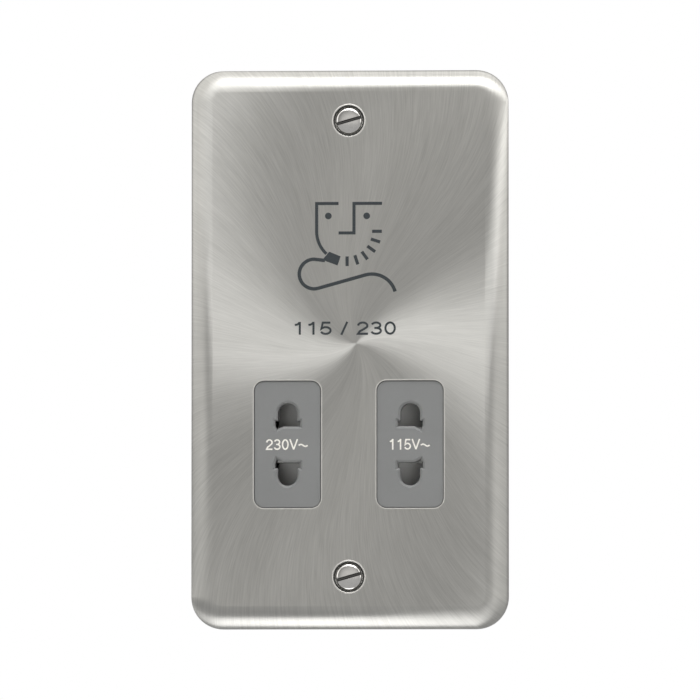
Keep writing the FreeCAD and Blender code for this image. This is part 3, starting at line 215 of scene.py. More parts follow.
def brushed_plate():
    """Satin metal brushed in a swirl. Its grooves spread the reflections across themselves."""
    graph = Graph("brushed_plate")
    x, _, z = graph.place()
    across = graph.math("SUBTRACT", x, BRUSH_CENTRE_X)
    up = graph.math("SUBTRACT", z, BRUSH_CENTRE_Z)
    radius = graph.distance(across, up)
    fade = graph.math("EXPONENT", graph.math("DIVIDE", radius, -CENTRE_REACH))
    turned_back = graph.math("MULTIPLY", fade, CENTRE_TURN)
    angle = graph.math("SUBTRACT", graph.math("ARCTAN2", up, across), turned_back)
    lean = graph.math("POWER", graph.math("DIVIDE", radius, LEAN_RADIUS), 3.0)
    unwound = graph.math("SUBTRACT", angle, graph.math("DIVIDE", lean, 3.0))
    groove = graph.math("ADD", angle, lean)
    tangent = graph.joined(graph.math("MULTIPLY", graph.math("SINE", groove), -1.0), 0.0,
                           graph.math("COSINE", groove))
    graph.feed(graph.shader.inputs["Tangent"], tangent)

    cosine = graph.math("COSINE", unwound)
    sine = graph.math("SINE", unwound)

    def streaked(cells_around, cells_per_metre, detail):
        """Noise drawn out along the streaks."""
        return graph.noise(1.0, detail, 0.6, graph.joined(graph.math("MULTIPLY", cosine, cells_around),
                                                          graph.math("MULTIPLY", sine, cells_around),
                                                          graph.math("MULTIPLY", radius, cells_per_metre)))

    outer = streaked(STREAKS_AROUND, STREAK_CELLS_PER_METRE, 4.0)
    inner = streaked(INNER_STREAKS_AROUND, STREAK_CELLS_PER_METRE, 3.0)
    broad = streaked(BROAD_STREAKS_AROUND, BROAD_CELLS_PER_METRE, 2.0)
    streaks = graph.math("MULTIPLY_ADD", graph.math("SUBTRACT", inner, outer), fade, outer)
    tone = graph.math("MULTIPLY_ADD", streaks, FINE_SHARE, graph.math("MULTIPLY", broad, 1 - FINE_SHARE))
    graph.colour(tone, (0.32, (0.58, 0.574, 0.546)), (0.68, (0.74, 0.732, 0.70)))
    graph.roughness(streaks, 0.44, 0.54)
    graph.set(Metallic=1.0, Anisotropic=0.9)
    graph.bump(streaks, 0.01 * MM, 0.3)
    return graph.material


def moulded_plastic(name, colour, roughness, grain=900.0, depth=0.01 * MM):
    """Moulded plastic: a fine spark-eroded grain, faint flow marks and slightly uneven gloss."""
    graph = Graph(name)
    flow = graph.noise(60.0, 3.0)
    fine = graph.noise(grain, 3.0, 0.6)
    shade = graph.math("ADD", graph.math("MULTIPLY", flow, 0.7), graph.math("MULTIPLY", fine, 0.3))
    graph.colour(shade, (0.2, tint(colour, -0.07)), (0.8, tint(colour, 0.07)))
    graph.roughness(fine, roughness - 0.08, roughness + 0.08)
    graph.bump(fine, depth, 0.5)
    return graph.material


def polished_nickel():
    """Bright nickel plating with very faint polishing marks, and painted shade inside the slot, where its
    colour goes near-black.
    """
    graph = Graph("nickel_screw")
    marks = graph.noise(700.0, 4.0, 0.65)
    x, y, z = graph.place()
    across = graph.math("SUBTRACT", graph.math("MULTIPLY", z, math.cos(SCREW_TURN)),
                        graph.math("MULTIPLY", x, math.sin(SCREW_TURN)))
    # The slot's inside, where shade is painted into the colour
    between = graph.math("LESS_THAN", graph.math("ABSOLUTE", across), SLOT_HALF_WIDTH + SLOT_MARGIN)
    slot_painted_shade = graph.math("MULTIPLY", between, graph.math("LESS_THAN", y, SLOT_BOTTOM + SLOT_MARGIN))
    tone = graph.math("ADD", graph.math("MULTIPLY", marks, 0.5), graph.math("MULTIPLY", slot_painted_shade, 0.5))
    # Stops past 0.5 are the slot's painted shade, near-black
    graph.colour(tone, (0.1, (0.76, 0.745, 0.72)), (0.4, (0.92, 0.905, 0.875)),
                 (0.52, (0.09, 0.088, 0.085)), (0.95, (0.16, 0.157, 0.15)))
    graph.roughness(marks, 0.12, 0.22)
    graph.set(Metallic=1.0)
    graph.bump(marks, 0.01 * MM, 0.25)
    return graph.material


def plated_steel(name, colour, roughness=0.32):
    """Zinc plate or drawn wire: cool, slightly cloudy metal."""
    graph = Graph(name)
    clouds = graph.noise(450.0, 4.0, 0.6)
    graph.colour(clouds, (0.2, tint(colour, -0.14)), (0.8, tint(colour, 0.1)))
    graph.roughness(clouds, roughness - 0.08, roughness + 0.1)
    graph.set(Metallic=1.0)
    graph.bump(clouds, 0.01 * MM, 0.4)
    return graph.material


def rolled_brass(name, colour, along="x"):
    """Brass with rolling or turning lines along one direction and light tarnish."""
    graph = Graph(name)
    long_cells, fine_cells = 60.0, 1800.0
    stretch = {"x": (long_cells, fine_cells, fine_cells), "z": (fine_cells, fine_cells, long_cells)}[along]
    lined = graph.joined(*[graph.math("MULTIPLY", part, cells)
                           for part, cells in zip(graph.place(), stretch)])
    lines = graph.noise(1.0, 3.0, 0.6, lined)
    tarnish = graph.noise(220.0, 4.0, 0.6)
    shade = graph.math("ADD", graph.math("MULTIPLY", lines, 0.5), graph.math("MULTIPLY", tarnish, 0.5))
    graph.colour(shade, (0.25, tint(colour, -0.25)), (0.75, tint(colour, 0.08)))
    graph.roughness(shade, 0.22, 0.42)
    graph.set(Metallic=1.0)
    graph.bump(lines, 0.01 * MM, 0.4)
    return graph.material


def laminated_steel():
    """Varnished transformer sheets: thin lines through the stack, dark with blued patches."""
    graph = Graph("core_steel")
    _, y, _ = graph.place()
    sheet = 0.5 * MM
    phase = graph.math("FRACT", graph.math("DIVIDE", y, sheet))
    ridge = graph.math("PINGPONG", phase, 0.5)
    joint = graph.math("SMOOTH_MIN", graph.math("MULTIPLY", ridge, 6.0), 1.0, 0.3)
    patches = graph.noise(140.0, 4.0, 0.6)
    shade = graph.math("MULTIPLY", joint, graph.spread(patches, 0.75, 1.0))
    graph.colour(shade, (0.05, (0.035, 0.034, 0.036)), (0.95, (0.17, 0.165, 0.17)))
    graph.roughness(patches, 0.32, 0.55)
    graph.set(Metallic=0.7)
    graph.bump(joint, 0.06 * MM, 0.7)
    return graph.material


def enamelled_copper():
    """Enamelled winding wire: clear glossy coat over copper."""
    graph = Graph("winding_copper")
    tone = graph.noise(500.0, 3.0)
    graph.colour(tone, (0.25, (0.42, 0.14, 0.05)), (0.75, (0.62, 0.24, 0.10)))
    graph.roughness(tone, 0.22, 0.34)
    graph.set(Metallic=0.9, Coat_Weight=0.5, Coat_Roughness=0.12)
    return graph.material


def polyester_tape():
    """Thin yellow tape, slightly wrinkled where it is pulled tight."""
    graph = Graph("yellow_tape")
    wrinkles = graph.noise(260.0, 4.0, 0.55)
    graph.colour(wrinkles, (0.25, (0.62, 0.40, 0.03)), (0.75, (0.80, 0.58, 0.08)))
    graph.roughness(wrinkles, 0.20, 0.36)
    graph.set(Coat_Weight=0.4, Coat_Roughness=0.1)
    graph.bump(wrinkles, 0.08 * MM, 0.5)
    return graph.material


def lead_insulation(name, colour):
    """Smooth soft insulation with a slight sheen and faint mottling."""
    graph = Graph(name)
    mottle = graph.noise(350.0, 3.0)
    graph.colour(mottle, (0.2, tint(colour, -0.12)), (0.8, tint(colour, 0.12)))
    graph.roughness(mottle, 0.30, 0.42)
    graph.set(Coat_Weight=0.25, Coat_Roughness=0.2)
    graph.bump(mottle, 0.02 * MM, 0.4)
    return graph.material


def printed_ink(name, colour):
    """Screen-printed ink: matt, with the faint unevenness of the mesh."""
    graph = Graph(name)
    mesh_marks = graph.noise(1500.0, 2.0, 0.6)
    graph.colour(mesh_marks, (0.2, tint(colour, -0.1)), (0.8, tint(colour, 0.1)))
    graph.roughness(mesh_marks, 0.5, 0.65)
    graph.bump(mesh_marks, 0.01 * MM, 0.3)
    return graph.material


def cut_edge_and_highlight():
    """A cut or rolled metal edge, lighter than the brushed face: partly its bare metal, partly a painted
    highlight.
    """
    graph = Graph("cut_edge_and_highlight")
    wear = graph.noise(900.0, 3.0)
    graph.colour(wear, (0.2, (0.66, 0.65, 0.62)), (0.8, (0.78, 0.765, 0.73)))
    graph.roughness(wear, 0.45, 0.6)
    graph.set(Metallic=0.75)
    graph.bump(wear, 0.01 * MM, 0.3)
    return graph.material


def shaded_wall():
    """The steep dull wall of a pressed dimple, coloured near-black as painted shade."""
    graph = Graph("shaded_wall")
    wear = graph.noise(900.0, 3.0)
    graph.colour(wear, (0.2, (0.03, 0.03, 0.029)), (0.8, (0.06, 0.06, 0.057)))
    graph.roughness(wear, 0.4, 0.55)
    graph.set(Specular_IOR_Level=0.25)
    graph.bump(wear, 0.01 * MM, 0.3)
    return graph.material


FINISHES = {
    "brushed_plate": brushed_plate(),
    "grey_moulding": moulded_plastic("grey_moulding", (0.198, 0.202, 0.203), 0.48),
    "nickel_screw": polished_nickel(),
    "shutter_plastic": moulded_plastic("shutter_plastic", (0.76, 0.76, 0.75), 0.5),
    "spring_wire": plated_steel("spring_wire", (0.56, 0.56, 0.57), 0.28),
    "contact_brass": rolled_brass("contact_brass", (0.72, 0.50, 0.20)),
    "carrier_plastic": moulded_plastic("carrier_plastic", (0.028, 0.028, 0.03), 0.5),
    "zinc_screw": plated_steel("zinc_screw", (0.60, 0.61, 0.63)),
    "housing_plastic": moulded_plastic("housing_plastic", (0.50, 0.50, 0.47), 0.52, 700.0, 0.015 * MM),
    "core_steel": laminated_steel(),
    "bobbin_nylon": moulded_plastic("bobbin_nylon", (0.72, 0.69, 0.58), 0.42),
    "tinned_tag": plated_steel("tinned_tag", (0.66, 0.65, 0.62), 0.3),
    "winding_copper": enamelled_copper(),
    "yellow_tape": polyester_tape(),
    "cutout_shell": moulded_plastic("cutout_shell", (0.018, 0.018, 0.019), 0.35),
    "terminal_brass": rolled_brass("terminal_brass", (0.70, 0.48, 0.19), "z"),
    "tinned_strap": plated_steel("tinned_strap", (0.63, 0.63, 0.61), 0.34),
    "lead_brown": lead_insulation("lead_brown", (0.10, 0.035, 0.014)),
    "lead_blue": lead_insulation("lead_blue", (0.015, 0.08, 0.36)),
    "lead_white": lead_insulation("lead_white", (0.66, 0.66, 0.64)),
    "lead_red": lead_insulation("lead_red", (0.42, 0.015, 0.012)),
    "lead_black": lead_insulation("lead_black", (0.012, 0.012, 0.013)),
}
PLATE_INK = printed_ink("plate_ink", (0.026, 0.033, 0.038))
PAD_INK = printed_ink("pad_ink", (0.78, 0.76, 0.71))
CUT_EDGE_AND_HIGHLIGHT = cut_edge_and_highlight()
SHADED_WALL = shaded_wall()

for subpart in frame["record"]["subparts"]:
    materials = frame["nodes"][subpart["node"]].data.materials
    materials.clear()
    materials.append(FINISHES[subpart["material_slot"]])


# Meshes

def new_piece(name, points, faces, material, sharp=SHARP_ANGLE):
    """A mesh piece, smooth but for edges sharper than an angle in degrees."""
    mesh = bpy.data.meshes.new(name)
    mesh.from_pydata([tuple(point) for point in points], [], faces)
    mesh.validate()
    shaped = bmesh.new()
    shaped.from_mesh(mesh)
    bmesh.ops.recalc_face_normals(shaped, faces=shaped.faces)
    shaped.to_mesh(mesh)
    shaped.free()
    mesh.shade_smooth()
    mesh.set_sharp_from_angle(angle=math.radians(sharp))
    mesh.materials.append(material)
    piece = bpy.data.objects.new(name, mesh)
    bpy.context.scene.collection.objects.link(piece)
    return piece


def stand_in(piece, node):
    """Puts a piece of the fixed body in a node's place, and hides the node."""
    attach(piece, "root")
    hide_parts(node)


def bands(starts, count, closed=False):
    """Faces between rings of points, each ring given by its first point. closed joins last to first."""
    faces = []
    following = starts[1:] + starts[:1] if closed else starts[1:]
    for here, there in zip(starts, following):
        for step in range(count):
            after = (step + 1) % count
            faces.append((here + step, here + after, there + after, there + step))
    return faces


def capped_bands(rings, count):
    """Faces between a number of rings, with a face over the first and over the last."""
    starts = [ring * count for ring in range(rings)]
    last = starts[-1]
    return bands(starts, count) + [tuple(reversed(range(count))), tuple(range(last, last + count))]


def ring_points(rows, segments, radius_at=None):
    """Points of (radius, y) rows turned about +Y.

    radius_at(radius, y, angle) may change the radius, as a thread does.
    """
    points = []
    for radius, y in rows:
        for step in range(segments):
            angle = 2 * math.pi * step / segments
            reach = radius_at(radius, y, angle) if radius_at else radius
            points.append(Vector((reach * math.cos(angle), y, reach * math.sin(angle))))
    return points


def lathe(rows, segments, radius_at=None):
    """Points and faces of a form turned about +Y and closed at both ends."""
    return ring_points(rows, segments, radius_at), capped_bands(len(rows), segments)


def turned_ring(rows, segments):
    """Points and faces of a ring whose closed section of (radius, y) rows is turned about +Y."""
    starts = [row * segments for row in range(len(rows))]
    return ring_points(rows, segments), bands(starts, segments, closed=True)


def helical_thread(start, end, pitch, depth):
    """How a thread cuts into a shank between two places, fading at its ends."""
    steepness = 1.25

    def radius_at(radius, y, angle):
        if not start <= y <= end:
            return radius
        phase = (y / pitch - angle / (2 * math.pi)) % 1.0
        crest = abs(2 * phase - 1)
        fade = min(1.0, (y - start) / pitch, (end - y) / pitch)
        return radius - depth * min(1.0, steepness * (1 - crest)) * fade
    return radius_at


def thread_rows(radius, start, end, pitch, per_turn=8):
    """The rows of a threaded shank, close enough together to carry its flanks."""
    count = max(2, round((end - start) / pitch * per_turn))
    return [(radius, start + (end - start) * step / count) for step in range(count + 1)]


def carved(piece, cutter):
    """Cuts one piece out of another and keeps the result."""
    tool = piece.modifiers.new("carve", "BOOLEAN")
    tool.operation = "DIFFERENCE"
    tool.solver = "EXACT"
    tool.object = cutter
    bpy.context.view_layer.update()
    shaped = bpy.data.meshes.new_from_object(piece.evaluated_get(bpy.context.evaluated_depsgraph_get()))
    piece.modifiers.clear()
    piece.data = shaped
    shaped.set_sharp_from_angle(angle=math.radians(SHARP_ANGLE))
    bpy.data.objects.remove(cutter)


def slot_cutter(head_radius, half_width, top, bottom, angle, material):
    """A block with a rounded floor for a head's slot, along X turned about Y. It reaches past the head."""
    half_length = 1.3 * head_radius
    above = top - 1.0 * MM
    floor = 0.25 * half_width
    floor_half_width = 0.6 * half_width
    section = [(-half_width, above), (half_width, above), (half_width, bottom - floor),
               (floor_half_width, bottom), (-floor_half_width, bottom), (-half_width, bottom - floor)]
    turn = Matrix.Rotation(-angle, 3, "Y")
    points = [turn @ Vector((end * half_length, depth, side)) for end in (-1, 1) for side, depth in section]
    count = len(section)
    faces = [tuple(range(count)), tuple(reversed(range(count, 2 * count)))]
    for step in range(count):
        after = (step + 1) % count
        faces.append((after, step, step + count, after + count))
    return new_piece("slot_cutter", points, faces, material)


def copies(name, source, placements, material):
    """One piece made of a source's mesh at several placements."""
    points, faces = [], []
    for placement in placements:
        offset = len(points)
        points.extend(placement @ vertex.co for vertex in source.data.vertices)
        faces.extend(tuple(offset + corner for corner in face.vertices) for face in source.data.polygons)
    bpy.data.objects.remove(source)
    return new_piece(name, points, faces, material)


# Fixing screws

def fixing_screw(node):
    """Raised countersunk head with a slot, plain neck and a rolled thread."""
    low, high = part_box(node)
    head_radius = (high.x - low.x) / 2
    centre_z = (low.z + high.z) / 2
    crown_radius = head_radius - 0.06 * MM
    rim = low.y + RIM_DEPTH
    shank_radius = head_radius / 2
    neck_radius = shank_radius - 0.35 * MM
    thread_start = -3.0 * MM
    thread_depth = 0.32 * MM
    pitch = 0.6 * MM
    shares = [0.02] + [step / CROWN_STEPS for step in range(1, CROWN_STEPS + 1)]
    rows = [(share * (crown_radius - BEVEL), low.y + CROWN_RISE * share ** 2) for share in shares]
    rows += [(crown_radius, low.y + CROWN_RISE + BEVEL), (head_radius - 0.02 * MM, rim - 0.04 * MM),
             (head_radius, rim + 0.05 * MM), (neck_radius, rim + head_radius - neck_radius),
             (neck_radius, thread_start)]
    rows += thread_rows(shank_radius, thread_start + 0.02 * MM, high.y - 0.5 * MM, pitch)
    rows += [(shank_radius * 0.68, high.y - 0.1 * MM), (shank_radius * 0.6, high.y)]
    thread = helical_thread(thread_start, high.y - 0.4 * MM, pitch, thread_depth)
    nickel = FINISHES["nickel_screw"]
    screw = new_piece(f"{node}_turned", *lathe(rows, 48, thread), nickel)
    carved(screw, slot_cutter(head_radius, SLOT_HALF_WIDTH, low.y, SLOT_BOTTOM, SCREW_TURN, nickel))
    screw.location.z = centre_z
    stand_in(screw, node)
    dimple_lip(f"{node}_dimple", centre_z, head_radius)


def dimple_lip(name, centre_z, head_radius):
    """The rolled lip of a dimple, light with a painted highlight, and its steep wall down to the screw head,
    dark with painted shade.
    """
    lip_outer = 4.48 * MM
    lip_inner = 4.12 * MM
    wall_foot = head_radius + 0.02 * MM
    proud = 0.05 * MM
    cone_start = 4.3 * MM
    foot = PLATE_FACE + cone_start - wall_foot
    lip = [(lip_outer, PLATE_FACE), (lip_outer - 0.1 * MM, PLATE_FACE - proud),
           (lip_inner + 0.08 * MM, PLATE_FACE - proud), (lip_inner, PLATE_FACE + 0.02 * MM),
           (cone_start - 0.05 * MM, PLATE_FACE + 0.2 * MM)]
    wall = [(lip_inner, PLATE_FACE + 0.02 * MM), (wall_foot + 0.12 * MM, foot - 0.12 * MM),
            (wall_foot, foot), (cone_start - 0.1 * MM, PLATE_FACE + 0.22 * MM)]
    # The lip takes the light cut-edge finish with its painted highlight, the wall the near-black painted
    # shade
    for suffix, rows, material in (("lip", lip, CUT_EDGE_AND_HIGHLIGHT), ("wall", wall, SHADED_WALL)):
        ring = new_piece(f"{name}_{suffix}", *turned_ring(rows, 64), material)
        ring.location.z = centre_z
        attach(ring, "root")


# Small screws

def cheese_screw(radius, length, head_thick, driven_from):
    """A slotted cheese-head screw whose shank starts at y = 0. driven_from is -1 for the front."""
    head_radius = 1.75 * radius
    chamfer = 0.12 * head_radius
    pitch = 0.42 * radius
    slot_half_width = 0.35 * MM
    slot_depth = 0.8 * MM
    rows = [(head_radius - chamfer, -head_thick), (head_radius, -head_thick + chamfer),
            (head_radius, -0.03 * MM), (head_radius - 0.03 * MM, 0.0), (radius, 0.0)]
    rows += thread_rows(radius, 0.02 * MM, length - radius, pitch)
    rows += [(radius * 0.35, length)]
    thread = helical_thread(0.3 * MM, length - 0.6 * radius, pitch, 0.2 * radius)
    zinc = FINISHES["zinc_screw"]
    screw = new_piece("cheese_screw", *lathe(rows, 24, thread), zinc)
    carved(screw, slot_cutter(head_radius, slot_half_width, -head_thick, slot_depth - head_thick, 0.0, zinc))
    if driven_from > 0:
        screw.data.transform(Matrix.Rotation(math.pi, 4, "X"))
    return screw


def spaced(start, end, count):
    """Evenly spaced places from start to end, or the middle for a count of 1."""
    if count == 1:
        return [(start + end) / 2]
    return [start + (end - start) * step / (count - 1) for step in range(count)]


def screw_group(node, radius, head_thick, driven_from, columns=2, rows=2):
    """Replaces a group of like screws with threaded ones at the same places."""
    low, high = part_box(node)
    inset = 1.75 * radius
    length = high.y - low.y - head_thick
    seat = low.y + head_thick if driven_from < 0 else high.y - head_thick
    source = cheese_screw(radius, length, head_thick, driven_from)
    places = [(x, z) for x in spaced(low.x + inset, high.x - inset, columns)
              for z in spaced(low.z + inset, high.z - inset, rows)]
    placements = [Matrix.Translation((x, seat, z)) @ Matrix.Rotation(math.radians(37 * step), 4, "Y")
                  for step, (x, z) in enumerate(places)]
    screws = copies(f"{node}_threaded", source, placements, FINISHES["zinc_screw"])
    stand_in(screws, node)


# Springs

def tube(points, radius, segments=10):
    """Points and faces of a round wire along a line of points, closed at both ends."""
    wire = []
    for step, point in enumerate(points):
        before = points[max(0, step - 1)]
        after = points[min(len(points) - 1, step + 1)]
        heading = (after - before).normalized()
        side = heading.cross(Vector((1, 0, 0)))
        side = side.normalized() if side.length > 1e-6 else Vector((0, 0, 1))
        other = heading.cross(side)
        for part in range(segments):
            turn = 2 * math.pi * part / segments
            wire.append(point + radius * (math.cos(turn) * side + math.sin(turn) * other))
    return wire, capped_bands(len(points), segments)


def shutter_spring(node, side):
    """A compression spring with closed ends, held by the moulding outside and by the slide inside."""
    low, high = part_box(node)
    wire = 0.2 * MM
    centre_y = (low.y + high.y) / 2
    coil = (high.y - low.y) / 2 - wire
    outer = (high.x if side > 0 else -low.x) - wire
    inner = (low.x if side > 0 else -high.x) + wire
    turns = 8
    closed = 1.0
    samples = 48 * turns
    points = []
    for step in range(samples + 1):
        turn = turns * step / samples
        if turn < closed:
            share = turn * 2 * wire
        elif turn > turns - closed:
            share = (outer - inner) - (turns - turn) * 2 * wire
        else:
            free = (outer - inner) - 4 * wire * closed
            share = 2 * wire * closed + free * (turn - closed) / (turns - 2 * closed)
        angle = 2 * math.pi * turn
        points.append(Vector((side * (inner + share), centre_y + coil * math.cos(angle),
                              OUTLET_Z + coil * math.sin(angle))))
    spring = new_piece(f"{node}_coil", *tube(points, wire), FINISHES["spring_wire"], 80.0)
    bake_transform(spring)
    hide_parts(node)


# Print

def stroke_sides(points, width, closed):
    """The two sides of a stroke along (x, z) points, with mitred joints."""
    left, right = [], []
    count = len(points)
    for step, point in enumerate(points):
        headings = []
        if step > 0 or closed:
            headings.append((point - points[(step - 1) % count]).normalized())
        if step < count - 1 or closed:
            headings.append((points[(step + 1) % count] - point).normalized())
        heading = sum(headings, Vector((0, 0))).normalized()
        side = Vector((-heading.y, heading.x))
        reach = width / 2 / max(0.4, side.dot(Vector((-headings[0].y, headings[0].x))))
        left.append(point + side * reach)
        right.append(point - side * reach)
    return left, right


def inked(name, shapes, face, ink):
    """Strokes and filled shapes as a thin layer on a face.

    A shape is (points, width) in millimetres. Without a width its points are filled. A stroke
    whose last point is its first is closed. Shapes that cross differ a little in thickness.
    """
    points, faces = [], []

    def layer(outline, thick):
        """Adds the points of an outline at the front and at the back of the layer."""
        offset = len(points)
        for depth in (-thick, 0.0):
            points.extend(Vector((corner.x * MM, face + depth, corner.y * MM)) for corner in outline)
        return offset

    for index, (outline, width) in enumerate(shapes):
        thick = INK_THICK + index % 3 * INK_STEP
        line = [Vector(point) for point in outline]
        if width is None:
            count = len(line)
            start = layer(line, thick)
            faces.append(tuple(range(start, start + count)))
            faces.append(tuple(range(start + count, start + 2 * count)))
            faces += bands([start, start + count], count)
            continue
        closed = (line[0] - line[-1]).length < 1e-6
        if closed:
            line.pop()
        count = len(line)
        left, right = stroke_sides(line, width, closed)
        start = layer(left + right, thick)
        near_left, near_right, far_left, far_right = (start + count * part for part in range(4))
        for step in range(count if closed else count - 1):
            after = (step + 1) % count
            for one, other in ((near_left, near_right), (near_right, far_right),
                               (far_right, far_left), (far_left, near_left)):
                faces.append((one + step, one + after, other + after, other + step))
        if not closed:
            for step in (0, count - 1):
                faces.append((near_left + step, near_right + step, far_right + step, far_left + step))
    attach(new_piece(name, points, faces, ink, 20.0), "root")


def oval(centre, across, up, start, end, steps=20):
    """Points of an oval arc, its angles in degrees."""
    return [(centre[0] + across * math.cos(math.radians(start + (end - start) * step / steps)),
             centre[1] + up * math.sin(math.radians(start + (end - start) * step / steps)))
            for step in range(steps + 1)]


def arc(centre, radius, start, end, steps=24):
    """Points of a round arc."""
    return oval(centre, radius, radius, start, end, steps)


def disc(centre, radius):
    """A filled dot."""
    return (arc(centre, radius, 0, 352.5, 47), None)


def window_rim(name, centre_x):
    """The cut edge round a window of the plate, as a thin light line: partly bare metal, partly a painted
    highlight.
    """
    width = 17.8
    height = 33.7
    corner = 2.7
    line = 0.27
    outline = []
    for quarter, (side_x, side_z) in enumerate(((1, 1), (-1, 1), (-1, -1), (1, -1))):
        centre = (centre_x / MM + side_x * (width / 2 - corner),
                  OUTLET_Z / MM + side_z * (height / 2 - corner))
        outline += arc(centre, corner + line / 2, 90 * quarter, 90 * quarter + 90, 8)
    inked(name, [(outline + outline[:1], line)], PLATE_FACE, CUT_EDGE_AND_HIGHLIGHT)


def shaver_symbol():
    """The common shaver symbol: a half-shaved face and a shaver on its cord, in plain strokes."""
    line = 0.82
    face_centre = (-0.74, 31.3)
    face_radius = 8.05
    brow = 38.7
    left = face_centre[0] - face_radius
    nose_x = 1.08
    nose_base = 30.9
    jaw = arc(face_centre, face_radius, 180, 227.5, 16)
    strokes = [
        ([(-3.0, brow), (left, brow)] + jaw, line),
        ([(8.5, brow), (nose_x, brow), (nose_x, nose_base), (-3.0, nose_base)], line),
        disc((-5.7, 35.4), 0.88),
        disc((4.44, 35.4), 0.88),
    ]
    bristle_middle = 7.9
    bristle_half = 1.28
    bristle_width = 0.85
    middle = Vector(face_centre)
    for step in range(6):
        angle = math.radians(-18 * step)
        heading = Vector((math.cos(angle), math.sin(angle)))
        ends = (bristle_middle - bristle_half, bristle_middle + bristle_half)
        strokes.append(([tuple(middle + heading * reach) for reach in ends], bristle_width))
    shaver_head = [(-5.45, 25.95), (-2.46, 24.7), (-3.28, 22.3), (-7.28, 23.8)]
    strokes.append((shaver_head, None))
    cord_width = 0.92
    loop_centre = (-9.47, 20.05)
    loop_radius = 3.92
    crest = (5.8, 13.6)
    crest_radius = 6.4
    rise = 15.2
    cord = [(-6.6, 23.65)] + arc(loop_centre, loop_radius, 90, 270 + rise, 30)
    cord += arc(crest, crest_radius, 90 + rise, 16, 16)
    strokes.append((cord, cord_width))
    shift_x, shift_z = SYMBOL_SHIFT
    return [([(x + shift_x, z + shift_z) for x, z in outline], width) for outline, width in strokes]


# Plain numerals as strokes, one unit high, and the room that each takes
WAVE = [(0.04 + 0.68 * step / 16, 0.42 + 0.09 * math.sin(2 * math.pi * step / 16)) for step in range(17)]
GLYPHS = {
    "0": ([oval((0.3, 0.5), 0.205, 0.435, 0, 360, 32)], 0.6),
    "1": ([[(0.36, 0.0), (0.36, 1.0)], [(0.14, 0.76), (0.24, 0.79), (0.31, 0.86), (0.345, 0.96)]], 0.6),
    "2": ([oval((0.3, 0.69), 0.2, 0.245, 178, -28) + [(0.34, 0.42), (0.17, 0.26), (0.095, 0.065)]
           + [(0.53, 0.065)]], 0.6),
    "3": ([oval((0.285, 0.725), 0.185, 0.21, 165, -90) + [(0.21, 0.515)],
           [(0.21, 0.515)] + oval((0.285, 0.29), 0.21, 0.225, 90, -165)], 0.6),
    "5": ([[(0.5, 0.935), (0.17, 0.935), (0.11, 0.47)] + oval((0.295, 0.325), 0.215, 0.26, 138, -160)], 0.6),
    "V": ([[(0.05, 1.0), (0.335, 0.04)], [(0.335, 0.04), (0.62, 1.0)]], 0.67),
    "~": ([WAVE], 0.76),
    "/": ([[(0.06, -0.02), (0.32, 1.0)]], 0.38),
    " ": ([], 0.32),
}


def numerals(text, centre, cap_height, width, weight):
    """Strokes of a row of plain numerals, fitted to a width and a cap height in millimetres."""
    thick = weight * cap_height
    lines = []
    pen = 0.0
    for sign in text:
        glyph, room = GLYPHS[sign]
        lines += [[(pen + x, z) for x, z in line] for line in glyph]
        pen += room
    xs = [x for line in lines for x, _ in line]
    stretch = (width - thick) / (max(xs) - min(xs))
    middle = (max(xs) + min(xs)) / 2
    return [([(centre[0] + (x - middle) * stretch, centre[1] + (z - 0.5) * cap_height)
              for x, z in line], thick) for line in lines]


def print_pad(name, text, centre_x, width):
    """The rating on a pad, between its pin holes."""
    centre = (centre_x / MM + PAD_SHIFT[0], OUTLET_Z / MM + PAD_SHIFT[1])
    inked(name, numerals(text, centre, PAD_HEIGHT, width, PAD_WEIGHT), PAD_FACE, PAD_INK)


# Transformer

def rounded_loop(half_x, half_y, corner, per_corner=6):
    """Points of a rounded rectangle about the origin, anticlockwise from above."""
    points = []
    for quarter, (side_x, side_y) in enumerate(((1, 1), (-1, 1), (-1, -1), (1, -1))):
        for step in range(per_corner + 1):
            angle = math.radians(90 * quarter + 90 * step / per_corner)
            points.append((side_x * (half_x - corner) + corner * math.cos(angle),
                           side_y * (half_y - corner) + corner * math.sin(angle)))
    return points


def wound_coil(node, wire):
    """A winding whose outside shows its turns, on the bobbin's square tube."""
    low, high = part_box(node)
    middle_x = (low.x + high.x) / 2
    middle_y = (low.y + high.y) / 2
    half_x = (high.x - low.x) / 2
    half_y = (high.y - low.y) / 2
    corner = 4.0 * MM
    turns = int((high.z - low.z) / wire)
    pitch = (high.z - low.z) / turns
    samples = 5
    levels = [(low.z + pitch * step / samples, math.sin(math.pi * (step % samples) / samples))
              for step in range(turns * samples + 1)]
    points = []
    for z, crest in levels:
        reach = 0.45 * wire * (1 - crest)
        for x, y in rounded_loop(half_x - reach, half_y - reach, corner - reach):
            points.append(Vector((middle_x + x, middle_y + y, z)))
    bore_half_x = 10.2 * MM
    bore_half_y = 11.2 * MM
    bore_corner = 0.2 * MM
    bore = rounded_loop(bore_half_x, bore_half_y, bore_corner)
    for z in (high.z, low.z):
        points.extend(Vector((middle_x + x, middle_y + y, z)) for x, y in bore)
    count = len(bore)
    starts = [row * count for row in range(len(levels) + 2)]
    faces = bands(starts, count, closed=True)
    coil = new_piece(f"{node}_turns", points, faces, FINISHES["winding_copper"], 50.0)
    stand_in(coil, node)


# Stud retainers

